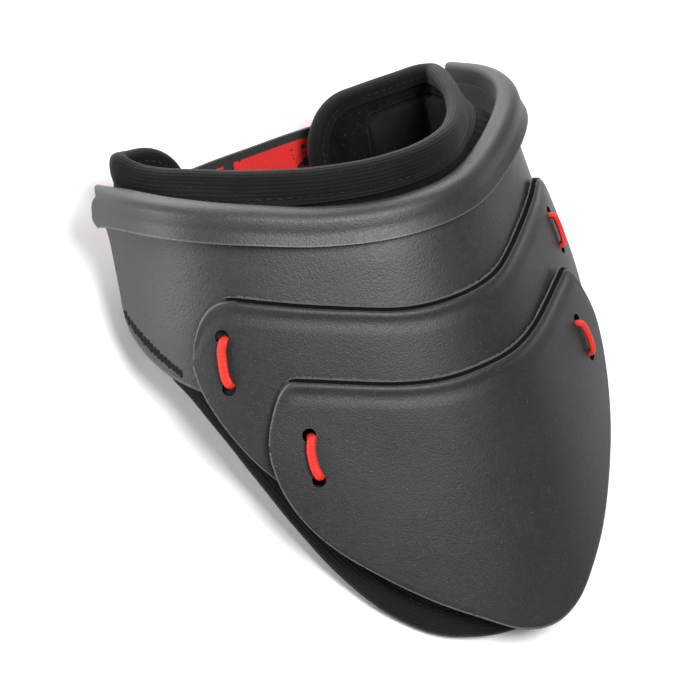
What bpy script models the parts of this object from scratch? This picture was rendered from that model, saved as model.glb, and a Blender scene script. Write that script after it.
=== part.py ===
"""Fencing gorget: a moulded collar shell, two laced throat lames, a padded liner and a rear strap.

The pieces are worked out in the neck's frame, in millimetres: Z runs up the neck, the front is -Y,
+X is the wearer's left, and the origin lies on the neck's axis at the height of the rim's dip.
An angle goes round the neck from the front, in degrees, and is positive to the wearer's left.
The empty named rest then leans the whole gorget back onto its liner, as it lies on a table.
"""
import math

import bmesh
import bpy
import numpy as np
from mathutils import Vector

MM = 0.001

# Driving dimensions
NECK_RADIUS = 81.6        # outer face of the collar wall at the height of the origin
FLARE = 0.29              # how much the wall widens for each millimetre down
FLARE_EASE = 0.00023      # how much that widening eases off further down
LOBE = 2.0                # the collar's plan is this much fuller at the front and at 60 degrees
WALL = 2.6                # thickness of the collar wall and its rolled lip
LAME = 2.4                # thickness of each throat lame
GAP = 0.4                 # clearance between pieces that lie against each other
RIM_RADIUS = 78.0         # inner edge of the rolled lip
RIM_BLEND = 20.0          # the wall turns towards the lip over this height
SHELL_SWEEP = 88.8        # angle at which the shell ends behind the ears
END_BOW = -1.2            # how far the shell's rear edges bow forward, in degrees
SPREAD = 5.0              # how far the collar's left end stands out further than its right one

HOLE_DIAMETER = 4.8
LACE_WIDTH = 3.5          # the lacing cord is pulled a little flat
LACE_THICKNESS = 2.1

PAD = 8.0                 # thickness of the padded liner
SEAM_OUTSET = 2.1         # how far its edge is set in from its outer face
SEAM_CORE = 2.6           # thickness of its pressed edge inside the binding
TAPE = 1.2                # thickness of the binding tape
TAPE_GAP = 0.6
TAPE_LEG = 10.0           # how far the tape reaches in from the edge on the outside
TAPE_INNER_LEG = 5.0      # and on the neck's side
LEAN_START = -16.0        # height at which the liner starts to lean in from the shell
UPRIGHT_START = 64.0      # angle from which it stands more and more upright, up to its fold
FOLD_ANGLE = 85.0         # where the liner turns in across the back
FOLD_RADIUS = 9.0
FRONT_RUN = 112.0         # length of the liner from the front to the fold, inside its wall

STRAP_WIDTH = 20.0
STRAP_THICKNESS = 1.6
STRAP_TOP = 0.0           # height of its upper edge

LEAN_BACK = 48.0          # how far the gorget lies back, in degrees
FLOOR_DROP = 21.8         # how far the surface lies below the origin once it has leant back

# Height of the rim round the collar
RIM = (
    # angle, height
    (0.0, -0.8),
    (15.0, -0.4),
    (30.0, 1.7),
    (45.0, 5.9),
    (60.0, 9.4),
    (75.0, 10.6),
    (90.0, 8.7),
)

# Section of the rolled lip, from the rim's inner edge outward and down, then back up underneath
LIP = (
    # outward from the rim, height above the rim, how far round it reaches past the shell's end
    (0.0, 0.0, 1.4),
    (2.0, 0.6, 0.8),
    (5.6, -0.5, -1.8),
    (8.6, -2.4, -2.2),
    (10.3, -5.2, -2.6),
    (11.2, -10.8, -5.0),
    (8.8, -10.8, -5.0),
    (8.0, -6.4, -2.6),
    (5.6, -4.0, -1.8),
    (3.2, -4.6, -0.6),
)
LIP_END = 76.0            # angle from which the lip's rows run on to their own ends

# One row for each section of the shell, from the front to the end
SHELL = (
    # lip angle, foot angle, foot height
    (0.0, 0.0, -70.0),
    (11.0, 10.4, -69.6),
    (22.0, 20.4, -68.4),
    (33.0, 30.0, -66.2),
    (44.0, 39.6, -63.0),
    (54.0, 48.0, -59.2),
    (64.0, 55.4, -55.4),
    (73.0, 62.6, -50.8),
    (80.0, 68.6, -45.4),
    (84.4, 73.0, -40.4),
    (87.2, 76.0, -35.4),
    (88.8, 77.7, -30.2),
)

# One row for each section of a lame, from the front to its side
UPPER_LAME = (
    # top angle, top height, foot angle, foot height
    (0.0, -37.2, 0.0, -111.0),
    (12.0, -36.3, 11.0, -109.6),
    (23.0, -32.9, 22.0, -106.0),
    (34.0, -29.2, 32.0, -99.0),
    (43.0, -25.9, 40.0, -89.5),
    (49.5, -23.8, 46.0, -79.5),
    (53.2, -25.0, 50.4, -69.5),
    (55.8, -29.4, 54.0, -60.0),
    (57.2, -35.5, 56.5, -51.6),
    (57.8, -41.5, 57.8, -44.5),
)
LOWER_LAME = (
    # top angle, top height, foot angle, foot height
    (0.0, -61.3, 0.0, -154.0),
    (9.0, -61.0, 6.0, -151.0),
    (18.0, -58.9, 12.4, -142.6),
    (27.0, -55.6, 19.4, -133.2),
    (34.0, -53.0, 27.2, -121.4),
    (38.4, -51.8, 34.4, -109.4),
    (40.4, -53.8, 39.2, -98.4),
    (42.0, -58.6, 42.2, -87.6),
    (43.4, -65.6, 43.6, -78.2),
    (43.9, -70.6, 43.9, -73.6),
)
LAME_BEVEL = 5.0          # height of the skived zone under a lame's top edge
LAME_SKIVE = 0.8          # how much thinner that edge is

# How far the lames' outer faces stand out from the wall, and how their ends stand off further
LAME_FACE = {"upper": GAP + LAME, "lower": 2.0 * (GAP + LAME)}
STAND = {
    # lame and side: angle where it starts, how much further round it has grown to the amount
    ("upper", -1): (25.0, 32.0, 0.7),
    ("upper", 1): (25.0, 32.0, 1.4),
    ("lower", -1): (14.0, 28.0, 0.8),
    ("lower", 1): (14.0, 28.0, 2.0),
}
STAND_FOOT = -112.0       # below this height the lames' ends don't stand off
STAND_RISE = 40.0

# The lace holes on each side
HOLES = {
    # angle, height on the lame's outer face
    ("upper", -1): ((51.5, -34.9), (50.8, -52.1)),
    ("upper", 1): ((48.3, -35.3), (47.6, -48.9)),
    ("lower", -1): ((36.4, -69.5), (35.7, -84.9)),
    ("lower", 1): ((34.5, -68.7), (35.6, -83.0)),
}

# The half of a lace's route from the end inside its hole to the middle of the visible stitch
LACE_ROUTE = (
    # along the stitch, outward, sideways to the front
    (0.7, -5.0, 0.0),
    (0.7, -1.6, 0.0),
    (0.95, 0.25, 0.0),
    (1.4, 1.2, -0.1),
    (2.6, 1.6, -0.2),
    (5.4, 1.65, -0.6),
)

# The liner in front of the fold
BAND = (
    # angle, height of the top edge, radius of its outer face there
    (0.0, 11.2, 79.3),
    (10.0, 11.2, 78.3),
    (20.0, 11.2, 75.6),
    (30.0, 11.3, 72.6),
    (40.0, 11.6, 70.2),
    (50.0, 12.0, 68.8),
    (60.0, 12.5, 68.4),
    (73.0, 12.8, 70.0),
    (85.0, 13.0, 74.4),
)
BIB = (
    # angle, height of the lower edge, whose last row holds for the wings too
    (0.0, -154.6),
    (6.0, -154.0),
    (12.0, -152.0),
    (18.0, -148.4),
    (24.0, -141.2),
    (30.0, -130.4),
    (36.0, -116.6),
    (42.0, -100.4),
    (48.0, -84.2),
    (54.0, -69.8),
    (60.0, -57.8),
    (66.0, -49.2),
    (72.0, -40.4),
    (77.0, -34.8),
    (81.0, -31.0),
    (85.0, -29.0),
)

# The liner's rear wings, on the wearer's left (1) and right (-1): how far they turn at the fold,
# their flat length, the distance of the tip from the middle, and the height of the top edge
WINGS = {
    1: {"turn": 95.0, "run": 55.0, "tip": 15.0, "crest": 11.0},
    -1: {"turn": 95.0, "run": 21.0, "tip": 44.0, "crest": 15.6},
}
WING_CORNER = 18.0        # radius of the corners at a wing's tip
CREST_LEAD = 18.0         # its top edge starts to rise this far before the fold

# The liner's columns and rows
FRONT_STEPS = 15
FOLD_STEPS = 6
WING_STEPS = 2
EDGE_ROWS = (5.0, 10.8, 18.8)         # distances of the first rows in from the edge
TIP_COLUMNS = (18.8, 10.8, 5.8, 2.4, 0.5, 0.0)    # distances of the last columns from a tip
TIP_STEPS = 3
SMALL_STEP = 0.01

# The steps between the given rows of an outline
OUTLINE_STEPS = 2
LACE_STEPS = 2
LACE_SIDES = 10
WALL_ROWS = 4
LAME_ROWS = 3

# The strap, flat between its ends behind the wings
STRAP = (
    # distance from the middle, how far back
    (0.0, 10.0),
    (16.0, 9.8),
    (32.0, 9.0),
    (48.0, 7.8),
    (64.0, 6.4),
)

COLOURS = {
    # piece: colour, roughness
    "collar_shell": ((0.045, 0.045, 0.047), 0.5),
    "upper_lame": ((0.036, 0.036, 0.037), 0.5),
    "lower_lame": ((0.036, 0.036, 0.037), 0.5),
    "liner": ((0.012, 0.012, 0.013), 0.9),
    "liner_binding": ((0.010, 0.010, 0.011), 0.8),
    "rear_strap": ((0.30, 0.012, 0.010), 0.8),
    "lace": ((0.75, 0.035, 0.02), 0.6),
}


# Curves through short tables

def smooth(x, xs, ys, level_start=True):
    """Height at x of a smooth curve through the points (xs, ys), where xs rises."""
    slopes = np.gradient(ys, xs)
    if level_start:
        slopes[0] = 0.0
    i = int(np.clip(np.searchsorted(xs, x) - 1, 0, len(xs) - 2))
    span = xs[i + 1] - xs[i]
    t = (x - xs[i]) / span
    return float((2 * t ** 3 - 3 * t ** 2 + 1) * ys[i] + (t ** 3 - 2 * t ** 2 + t) * span * slopes[i]
                 + (3 * t ** 2 - 2 * t ** 3) * ys[i + 1] + (t ** 3 - t ** 2) * span * slopes[i + 1])


def column(table, x, index, level_start=True):
    """One column of a table at x, where the table's first column is x."""
    data = np.array(table)
    return smooth(abs(x), data[:, 0], data[:, index], level_start)


def sections(table, steps, level=()):
    """The rows of a half outline, with this many steps from each given row to the next.

    The columns in level start out level, so that they run on smoothly into the other half.
    """
    data = np.array(table)
    rows = np.arange(len(data), dtype=float)
    fine = np.arange((len(data) - 1) * steps + 1) / steps
    return [[smooth(t, rows, data[:, k], k in level) for k in range(data.shape[1])] for t in fine]


def ease(x):
    """0 below 0, 1 above 1, and a smooth step between them."""
    x = min(max(x, 0.0), 1.0)
    return x * x * (3.0 - 2.0 * x)


# The neck's surfaces

def lobe(angle):
    """How much fuller the plan is at this angle."""
    return LOBE * math.cos(math.radians(6.0 * angle))


def spread(angle, z):
    """How far the collar has sprung open at this place, all of it high up at its left end."""
    return SPREAD * ease((angle - 45.0) / 40.0) * ease((z + 45.0) / 40.0)


def rim_height(angle):
    return column(RIM, angle, 1)


def cone(angle, z):
    return NECK_RADIUS - FLARE * z - FLARE_EASE * z * z + lobe(angle)


def wall_radius(angle, z):
    """Outer face of the collar wall, which meets the lip at the rim and is upright above it."""
    top = rim_height(angle)
    meeting = RIM_RADIUS + WALL + lobe(angle) - cone(angle, top)
    blend = meeting * ease((z - top + RIM_BLEND) / RIM_BLEND)
    return cone(angle, min(z, top)) + blend + spread(angle, z)


def polar(angle, radius, z):
    a = math.radians(angle)
    return Vector((radius * math.sin(a), -radius * math.cos(a), z))


def wall_point(angle, z, outward):
    return polar(angle, wall_radius(angle, z) + outward, z)


def lame_point(name, angle, z, offset):
    """Point of a lame, measured from its outer face."""
    start, growth, amount = STAND[name, side_of(angle)]
    off = amount * (max(abs(angle) - start, 0.0) / growth) ** 2
    off *= ease((z - STAND_FOOT) / STAND_RISE)
    return wall_point(angle, z, LAME_FACE[name] + off + offset)


def floor_height(point):
    """Height of a point over the surface once the gorget has leant back."""
    a = math.radians(LEAN_BACK)
    return point.z * math.cos(a) - point.y * math.sin(a) + FLOOR_DROP


def flatten(point, least):
    """Moves a soft point straight up until it is at least this high over the surface."""
    a = math.radians(LEAN_BACK)
    rise = max(least - floor_height(point), 0.0)
    return point + rise * Vector((0.0, -math.sin(a), math.cos(a)))


# Building blocks

def material(name, key):
    colour, roughness = COLOURS[key]
    made = bpy.data.materials.new(name)
    made.use_nodes = True
    shader = made.node_tree.nodes["Principled BSDF"]
    shader.inputs["Base Color"].default_value = (*colour, 1.0)
    shader.inputs["Roughness"].default_value = roughness
    shader.inputs["Metallic"].default_value = 0.0
    return made


def add_object(name, data, rest, key):
    piece = bpy.data.objects.new(name, data)
    bpy.context.collection.objects.link(piece)
    data.materials.append(material(name, key))
    piece.parent = rest
    return piece


def finish_mesh(bm, name, smooth_angle=35.0):
    bmesh.ops.recalc_face_normals(bm, faces=bm.faces)
    mesh = bpy.data.meshes.new(name)
    bm.to_mesh(mesh)
    bm.free()
    mesh.shade_smooth()
    mesh.set_sharp_from_angle(angle=math.radians(smooth_angle))
    return mesh


def loft(name, loops, closed=False):
    """A solid through loops of equal length: joined end to start, or capped at both ends."""
    bm = bmesh.new()
    rings = [[bm.verts.new(Vector(p) * MM) for p in loop] for loop in loops]
    count = len(loops[0])
    pairs = list(zip(rings, rings[1:] + rings[:1] if closed else rings[1:]))
    for near, far in pairs:
        for k in range(count):
            bm.faces.new((near[k], near[(k + 1) % count], far[(k + 1) % count], far[k]))
    if not closed:
        bm.faces.new(rings[0])
        bm.faces.new(rings[-1])
    return finish_mesh(bm, name)


def hole_axis(lame_name, row, side):
    """Centre of a lace hole on its lame's outer face, and the direction out of it."""
    angle, z = HOLES[lame_name, side][row]
    angle *= side
    across = lame_point(lame_name, angle + 1.0, z, 0.0) - lame_point(lame_name, angle - 1.0, z, 0.0)
    up = lame_point(lame_name, angle, z + 1.0, 0.0) - lame_point(lame_name, angle, z - 1.0, 0.0)
    return lame_point(lame_name, angle, z, 0.0), across.cross(up).normalized()


def hole_cutter(name, lame_names, rest):
    """Round cutters through the plates along the axis of each hole."""
    bm = bmesh.new()
    for lame_name in lame_names:
        for row in (0, 1):
            for side in (-1, 1):
                centre, outward = hole_axis(lame_name, row, side)
                turn = outward.to_track_quat("Z", "Y").to_matrix().to_4x4()
                turn.translation = centre * MM
                bmesh.ops.create_cone(bm, cap_ends=True, segments=16, depth=24.0 * MM, matrix=turn,
                                      radius1=HOLE_DIAMETER / 2 * MM,
                                      radius2=HOLE_DIAMETER / 2 * MM)
    mesh = bpy.data.meshes.new(name)
    bm.to_mesh(mesh)
    bm.free()
    cutter = bpy.data.objects.new(name, mesh)
    bpy.context.collection.objects.link(cutter)
    cutter.parent = rest
    cutter.hide_render = True
    cutter.display_type = "WIRE"
    return cutter


def cut(piece, cutter):
    modifier = piece.modifiers.new("lace holes", "BOOLEAN")
    modifier.operation = "DIFFERENCE"
    modifier.solver = "EXACT"
    modifier.object = cutter


# The pieces

def shell_section(lip_angle, foot_angle, foot_height, bow):
    """The closed section of wall and rolled lip at one place round the collar."""
    top = rim_height(lip_angle)
    rim = RIM_RADIUS + lobe(lip_angle) + spread(lip_angle, top)
    near_end = max(abs(lip_angle) - LIP_END, 0.0) / (SHELL_SWEEP - LIP_END)
    side = side_of(lip_angle)
    points = []
    for out, up, past in LIP:
        angle = lip_angle + side * past * near_end ** 2
        points.append(polar(angle, rim + out, top + up))
    start = top + LIP[-1][1] - 2.0
    for offset, order in ((0.0, range(WALL_ROWS + 1)), (-WALL, range(WALL_ROWS, -1, -1))):
        for k in order:
            share = k / WALL_ROWS
            z = start + (foot_height - start) * share
            angle = lip_angle + (foot_angle - lip_angle) * share + bow * 4.0 * share * (1.0 - share)
            points.append(wall_point(angle, z, offset))
    return points


def collar_shell(rest):
    half = sections(SHELL, OUTLINE_STEPS, level=(2,))
    rows = [(-a, -b, z) for a, b, z in reversed(half[1:])] + half
    loops = []
    for lip_angle, foot_angle, foot_height in rows:
        bow = END_BOW * (lip_angle / SHELL_SWEEP) ** 3
        loops.append(shell_section(lip_angle, foot_angle, foot_height, bow))
    shell = add_object("collar_shell", loft("collar_shell", loops), rest, "collar_shell")
    cut(shell, hole_cutter("shell hole cutter", ("upper",), rest))
    return shell


def lame(name, table, holes, rest):
    """A curved plate over the collar wall, with its lace holes."""
    half = sections(table, OUTLINE_STEPS, level=(1, 3))
    rows = [(-a, za, -b, zb) for a, za, b, zb in reversed(half[1:])] + half
    loops = []
    for top_angle, top, foot_angle, foot in rows:
        height = top - foot
        bevel = min(LAME_BEVEL / height, 0.5)
        shares = [0.0] + [bevel + (1.0 - bevel) * k / LAME_ROWS for k in range(LAME_ROWS + 1)]
        places = [(top_angle + (foot_angle - top_angle) * t, top - height * t, t) for t in shares]
        face = [lame_point(name, a, z, -LAME_SKIVE * max(1.0 - t / bevel, 0.0))
                for a, z, t in places]
        back = [lame_point(name, a, z, -LAME) for a, z, t in reversed(places)]
        loops.append(face + back)
    plate = add_object(name + "_lame", loft(name + "_lame", loops), rest, name + "_lame")
    cut(plate, hole_cutter(name + " hole cutter", holes, rest))
    return plate


def side_of(place):
    return -1 if place < 0.0 else 1


def fold_run(side):
    """Length of the fold inside the liner's wall."""
    return math.radians(WINGS[side]["turn"]) * (FOLD_RADIUS - SEAM_OUTSET - SEAM_CORE / 2)


def wing_heading(side):
    """Direction in which a wing runs back to its fold, on the wearer's left."""
    return polar(FOLD_ANGLE + WINGS[side]["turn"] - 90.0, 1.0, 0.0)


def liner_point(place, z, depth):
    """Point of the liner this deep inside its outer face.

    A place is a distance along the liner's wall from the front, negative on the wearer's right.
    """
    side = side_of(place)
    angle = FOLD_ANGLE * min(abs(place) / FRONT_RUN, 1.0)
    beyond = abs(place) - FRONT_RUN
    top = column(BAND, angle, 1)
    band = column(BAND, angle, 2)
    inside_shell = wall_radius(side * angle, z) - WALL - GAP
    lean = band - (wall_radius(side * angle, top) - WALL - GAP)
    leaning = inside_shell + lean * ease((z - LEAN_START) / (top - LEAN_START))
    upright = ease((angle - UPRIGHT_START) / (FOLD_ANGLE - UPRIGHT_START))
    radius = leaning + (band - leaning) * upright
    point = polar(angle, radius - depth, z)
    if beyond > 0.0:
        turn = FOLD_ANGLE + WINGS[side]["turn"] * min(beyond / fold_run(side), 1.0)
        centre = polar(FOLD_ANGLE, radius - FOLD_RADIUS, z)
        point = centre + polar(turn, FOLD_RADIUS - depth, 0.0)
    if beyond > fold_run(side):
        heading = wing_heading(side)
        outer_end = centre + polar(turn, FOLD_RADIUS, 0.0)
        length = (outer_end.x - WINGS[side]["tip"]) / heading.x
        to_tip = tip_place(side) - abs(place)
        stretch = (length - TIP_COLUMNS[0]) / (WINGS[side]["run"] - TIP_COLUMNS[0])
        to_tip += max(to_tip - TIP_COLUMNS[0], 0.0) * (stretch - 1.0)
        point -= heading * (length - to_tip)
    return Vector((side * point.x, point.y, point.z))


def middle(place, z):
    return liner_point(place, z, SEAM_OUTSET + SEAM_CORE / 2)


def tip_place(side):
    return FRONT_RUN + fold_run(side) + WINGS[side]["run"]


def corner_drop(place):
    """How much a wing's tip has rounded off at this place."""
    to_tip = tip_place(side_of(place)) - abs(place)
    inside = min(max(WING_CORNER - to_tip, 0.0), WING_CORNER)
    return WING_CORNER - math.sqrt(WING_CORNER ** 2 - inside ** 2)


def liner_top(place):
    side = side_of(place)
    band = column(BAND, min(abs(place) / FRONT_RUN, 1.0) * FOLD_ANGLE, 1)
    rise = (abs(place) - FRONT_RUN + CREST_LEAD) / (CREST_LEAD + fold_run(side))
    return band + (WINGS[side]["crest"] - band) * ease(rise) - corner_drop(place)


def liner_foot(place):
    angle = FOLD_ANGLE * min(abs(place) / FRONT_RUN, 1.0)
    return column(BIB, angle, 1) + corner_drop(place)


def liner_places():
    """The places of the liner's columns, from the right wing's tip to the left one's."""
    halves = {}
    for side in (-1, 1):
        fold_end = FRONT_RUN + fold_run(side)
        tip = tip_place(side)
        flat = tip - TIP_COLUMNS[0] - fold_end
        half = [FRONT_RUN * k / FRONT_STEPS for k in range(1, FRONT_STEPS + 1)]
        half += [FRONT_RUN + fold_run(side) * k / FOLD_STEPS for k in range(1, FOLD_STEPS + 1)]
        half += [fold_end + flat * k / WING_STEPS for k in range(1, WING_STEPS)]
        half += [tip - distance for distance in TIP_COLUMNS]
        halves[side] = [side * place for place in half]
    return halves[-1][::-1] + [0.0] + halves[1]


def tip_rows(side):
    """Rows down the straight end of a wing, between its two rounded corners."""
    tip = side * tip_place(side)
    drop = (liner_foot(tip) - liner_top(tip)) / TIP_STEPS
    return [(tip, liner_top(tip) + drop * k) for k in range(1, TIP_STEPS)]


def edge_loop():
    """The liner's whole edge as (place, height) rows: over the top, then back underneath."""
    places = liner_places()
    over = [(place, liner_top(place)) for place in places]
    under = [(place, liner_foot(place)) for place in reversed(places)]
    return over + tip_rows(1) + under + tip_rows(-1)[::-1]


def edge_run(place, height):
    """Direction of the liner's upper or lower edge at one place, towards its tip."""
    inner = place - side_of(place) * SMALL_STEP
    return (middle(place, height(place)) - middle(inner, height(inner))).normalized()


def levelness(place, height):
    """How level an edge is: 1 where it is level, less where it slopes."""
    run = edge_run(place, height)
    return max(math.hypot(run.x, run.y), 0.4)


def column_rows(place):
    """The liner's rows at one place as (height, has its full padding), from the top down."""
    top = liner_top(place)
    foot = liner_foot(place)
    to_tip = tip_place(side_of(place)) - abs(place)
    upper = [(top, False)]
    lower = [(foot, False)]
    for k, distance in enumerate(EDGE_ROWS):
        limit = (top - foot) * 0.4 * (k + 1) / len(EDGE_ROWS)
        full = distance == EDGE_ROWS[-1] and to_tip > TIP_COLUMNS[1] + SMALL_STEP
        upper.append((top - min(distance / levelness(place, liner_top), limit), full))
        lower.append((foot + min(distance / levelness(place, liner_foot), limit), full))
    gap = (upper[-1][0] - lower[-1][0]) / 3
    between = [(upper[-1][0] - gap, full), (lower[-1][0] + gap, full)]
    return upper + between + lower[::-1]


def liner(rest):
    loops = []
    for place in liner_places():
        face = []
        back = []
        for z, full in column_rows(place):
            shallow = 0.0 if full else SEAM_OUTSET
            deep = PAD if full else SEAM_OUTSET + SEAM_CORE
            face.append(flatten(liner_point(place, z, shallow), TAPE + TAPE_GAP))
            back.append(flatten(liner_point(place, z, deep), TAPE + TAPE_GAP))
        loops.append(face + back[::-1])
    return add_object("liner", loft("liner", loops), rest, "liner")


def inward_step(place, z, tangent):
    """Change of place and height for one millimetre into the liner from its edge.

    Along the top and the foot the tape's section stands upright, and round a wing's tip it is
    square to the edge.
    """
    side = side_of(place)
    if tip_place(side) - abs(place) > TIP_COLUMNS[1] + SMALL_STEP:
        height = liner_top if z > 0.0 else liner_foot
        return 0.0, (-1.0 if z > 0.0 else 1.0) / levelness(place, height)
    across = (middle(place, z) - middle(place - side * SMALL_STEP, z)) / (side * SMALL_STEP)
    up = Vector((0.0, 0.0, 1.0))
    inward = tangent.cross(across.cross(up)).normalized()
    return inward.dot(across) / across.length_squared, inward.z


def tape_section():
    """Section of the binding as (distance in from the edge, depth, is on its inner side)."""
    outer = SEAM_OUTSET - TAPE_GAP - TAPE
    inner = SEAM_OUTSET + SEAM_CORE + TAPE_GAP + TAPE
    crown = TAPE_GAP + TAPE
    half_leg = TAPE_LEG / 2
    half_inner = TAPE_INNER_LEG / 2
    return (
        (TAPE_LEG, outer, False),
        (half_leg, outer, False),
        (-TAPE_GAP / 2, outer, False),
        (-crown, outer + TAPE, False),
        (-crown, inner - TAPE, False),
        (-TAPE_GAP / 2, inner, False),
        (half_inner, inner, False),
        (TAPE_INNER_LEG, inner, False),
        (TAPE_INNER_LEG, inner - TAPE, True),
        (half_inner, inner - TAPE, True),
        (-TAPE_GAP, inner - TAPE, True),
        (-TAPE_GAP, outer + TAPE, True),
        (half_leg, outer + TAPE, True),
        (TAPE_LEG, outer + TAPE, True),
    )


def liner_binding(rest):
    rows = edge_loop()
    edge = [middle(place, z) for place, z in rows]
    loops = []
    for k, (place, z) in enumerate(rows):
        tangent = edge[(k + 1) % len(rows)] - edge[k - 1]
        step = inward_step(place, z, tangent)
        loop = []
        for inward, depth, inside in tape_section():
            point = liner_point(place + step[0] * inward, z + step[1] * inward, depth)
            loop.append(flatten(point, TAPE if inside else 0.0))
        loops.append(loop)
    mesh = loft("liner_binding", loops, closed=True)
    return add_object("liner_binding", mesh, rest, "liner_binding")


def rear_strap(rest):
    half = sections(STRAP, OUTLINE_STEPS, level=(1,))
    rows = [(-x, y) for x, y in reversed(half[1:])] + half
    loops = []
    for x, y in rows:
        near = y - STRAP_THICKNESS / 2
        far = y + STRAP_THICKNESS / 2
        foot = STRAP_TOP - STRAP_WIDTH
        loops.append([(x, near, foot), (x, near, STRAP_TOP), (x, far, STRAP_TOP), (x, far, foot)])
    return add_object("rear_strap", loft("rear_strap", loops), rest, "rear_strap")


def lace(name, lame_name, side, rest):
    """A cord stitch out through one hole, along the lame and in through the other."""
    (start, outward), (end, _) = [hole_axis(lame_name, row, side) for row in (0, 1)]
    along = (end - start).normalized()
    forward = along.cross(outward).normalized() * side
    length = (end - start).length
    route = list(LACE_ROUTE) + [(length - a, o, f) for a, o, f in reversed(LACE_ROUTE)]
    path = [start + along * a + outward * o + forward * f for a, o, f in sections(route, LACE_STEPS)]
    loops = []
    for k, place in enumerate(path):
        ahead = path[min(k + 1, len(path) - 1)] - path[max(k - 1, 0)]
        over = forward.cross(ahead).normalized()
        turns = [2.0 * math.pi * i / LACE_SIDES for i in range(LACE_SIDES)]
        loops.append([place + forward * (LACE_WIDTH / 2 * math.cos(t))
                      + over * (LACE_THICKNESS / 2 * math.sin(t)) for t in turns])
    return add_object(name, loft(name, loops), rest, "lace")


def lay_down(rest, pieces):
    """Leans the gorget back and centres it over the origin, with the surface at height 0."""
    angle = math.radians(LEAN_BACK)
    rest.rotation_euler = (-angle, 0.0, 0.0)
    ends = [v.co.y * math.cos(angle) + v.co.z * math.sin(angle)
            for piece in pieces if piece.type == "MESH" for v in piece.data.vertices]
    rest.location = (0.0, -(min(ends) + max(ends)) / 2, FLOOR_DROP * MM)
    bpy.context.view_layer.update()


def main():
    for old in list(bpy.data.objects):
        bpy.data.objects.remove(old, do_unlink=True)
    rest = bpy.data.objects.new("rest", None)
    bpy.context.collection.objects.link(rest)
    pieces = [
        collar_shell(rest),
        lame("upper", UPPER_LAME, ("upper", "lower"), rest),
        lame("lower", LOWER_LAME, ("lower",), rest),
        liner(rest),
        liner_binding(rest),
        rear_strap(rest),
    ]
    for side, word in ((-1, "right"), (1, "left")):
        for lame_name in LAME_FACE:
            pieces.append(lace(f"lace_{lame_name}_{word}", lame_name, side, rest))
    lay_down(rest, pieces)


if __name__ == "__main__":
    main()
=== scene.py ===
"""A fencing gorget: moulded collar, two laced throat lames, padded liner, bound edges, rear strap.

The forms are worked out in the neck's frame, in millimetres: Z runs up the neck, the front is -Y
and +X is the wearer's left. An angle goes round the neck from the front and is positive to the
wearer's left. laid() then leans everything back the way the gorget lies on a table, in metres.
"""
import math
from functools import partial
from itertools import product

import bpy
import numpy as np
from mathutils import Matrix, Vector


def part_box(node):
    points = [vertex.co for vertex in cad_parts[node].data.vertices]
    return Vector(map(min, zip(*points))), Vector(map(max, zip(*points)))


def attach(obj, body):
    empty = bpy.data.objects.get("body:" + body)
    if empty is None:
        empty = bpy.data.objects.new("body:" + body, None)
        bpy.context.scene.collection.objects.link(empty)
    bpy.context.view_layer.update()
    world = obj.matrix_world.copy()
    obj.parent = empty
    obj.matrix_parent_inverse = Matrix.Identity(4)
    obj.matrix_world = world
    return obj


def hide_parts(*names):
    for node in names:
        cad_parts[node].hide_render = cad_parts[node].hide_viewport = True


bl_info = {
    "name": "Fencing Gorget",
    "version": (1, 0, 0),
    "blender": (4, 5, 0),
    "location": "3D View > Sidebar > Gorget",
    "description": "Moulded collar, laced lames, padded liner, binding, laces and rear strap",
    "category": "Object",
}

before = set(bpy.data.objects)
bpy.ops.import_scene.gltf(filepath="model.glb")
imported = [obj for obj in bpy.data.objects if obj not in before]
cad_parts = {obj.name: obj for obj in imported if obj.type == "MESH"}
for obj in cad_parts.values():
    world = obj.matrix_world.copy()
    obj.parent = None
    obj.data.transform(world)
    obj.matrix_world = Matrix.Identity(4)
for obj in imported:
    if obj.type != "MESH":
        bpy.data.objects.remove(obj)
REST_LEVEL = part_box("liner_binding")[0][2]

# The collar's form
NECK_RADIUS = 81.6
FLARE = 0.29
FLARE_EASE = 0.00023
LOBE, LOBES = 2.0, 6.0
RIM_RADIUS = 78.0
RIM_BLEND = 20.0
SHELL_SWEEP = 88.8
LIP_END = 76.0
END_BOW = -1.2
SPREAD = 5.0
GAP = 0.4

# How the gorget lies
LEAN_BACK = 48.0
REST_BACK = 93.115
REST_UP = 21.8

# The liner's form
PAD = 8.0
SEAM_OUTSET = 2.1
SEAM_CORE = 2.6
TAPE_GAP = 0.6
LEAN_START = -16.0
UPRIGHT_START = 64.0
FOLD_ANGLE = 85.0
FOLD_RADIUS = 9.0
FOLD_TURN = 95.0
FRONT_RUN = 112.0
WING_CORNER = 18.0
CREST_LEAD = 18.0
TIP_ZONE = 18.8
FULLNESS = 3.0
COLLAR_CLEARANCE = 1.2
KNOB = 2.2
BAND_FOOT = -10.0

# How the padding is puffed; pairs are for the inner and the outer face
PRESSURE = 4.0
PUFF_FRAMES = 20
GRIP = (5.5, 10.0)
MOST_PUFF = (2.6, 0.25)

# How finely the forms are divided
COLLAR_STEPS = 240
LIP_ROWS, UNDER_ROWS, WALL_ROWS, INNER_ROWS = 44, 18, 26, 18
HEEL = (0.12, 0.5, 0.88)
FLAP_ROW = LIP_ROWS - 1
FOOT_ROW = LIP_ROWS + len(HEEL) + UNDER_ROWS + WALL_ROWS - 1
LAME_STEPS = 220
BEAD_ROWS, FACE_ROWS, BACK_ROWS = 26, 30, 14
LAME_FOOT_ROW = BEAD_ROWS + FACE_ROWS
BEAD_ZONE = 9.0
BURR_STEPS = 899
PAD_STEPS = (190, 116)
TAPE_STEPS = (480, 44)
STRAP_STEPS = (160, 20)
LACE_STEPS = (80, 24)
LACE_LENGTH = 0.027
CORNER_STITCHES = 34
CORNER_STITCH = (3.4, 1.7)
PUNCH_DEPTH = 0.024
JOIN_WITHIN = 0.00002
RAW_SHARE = 0.45
SIDES = ((-1, "right"), (1, "left"))

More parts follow.
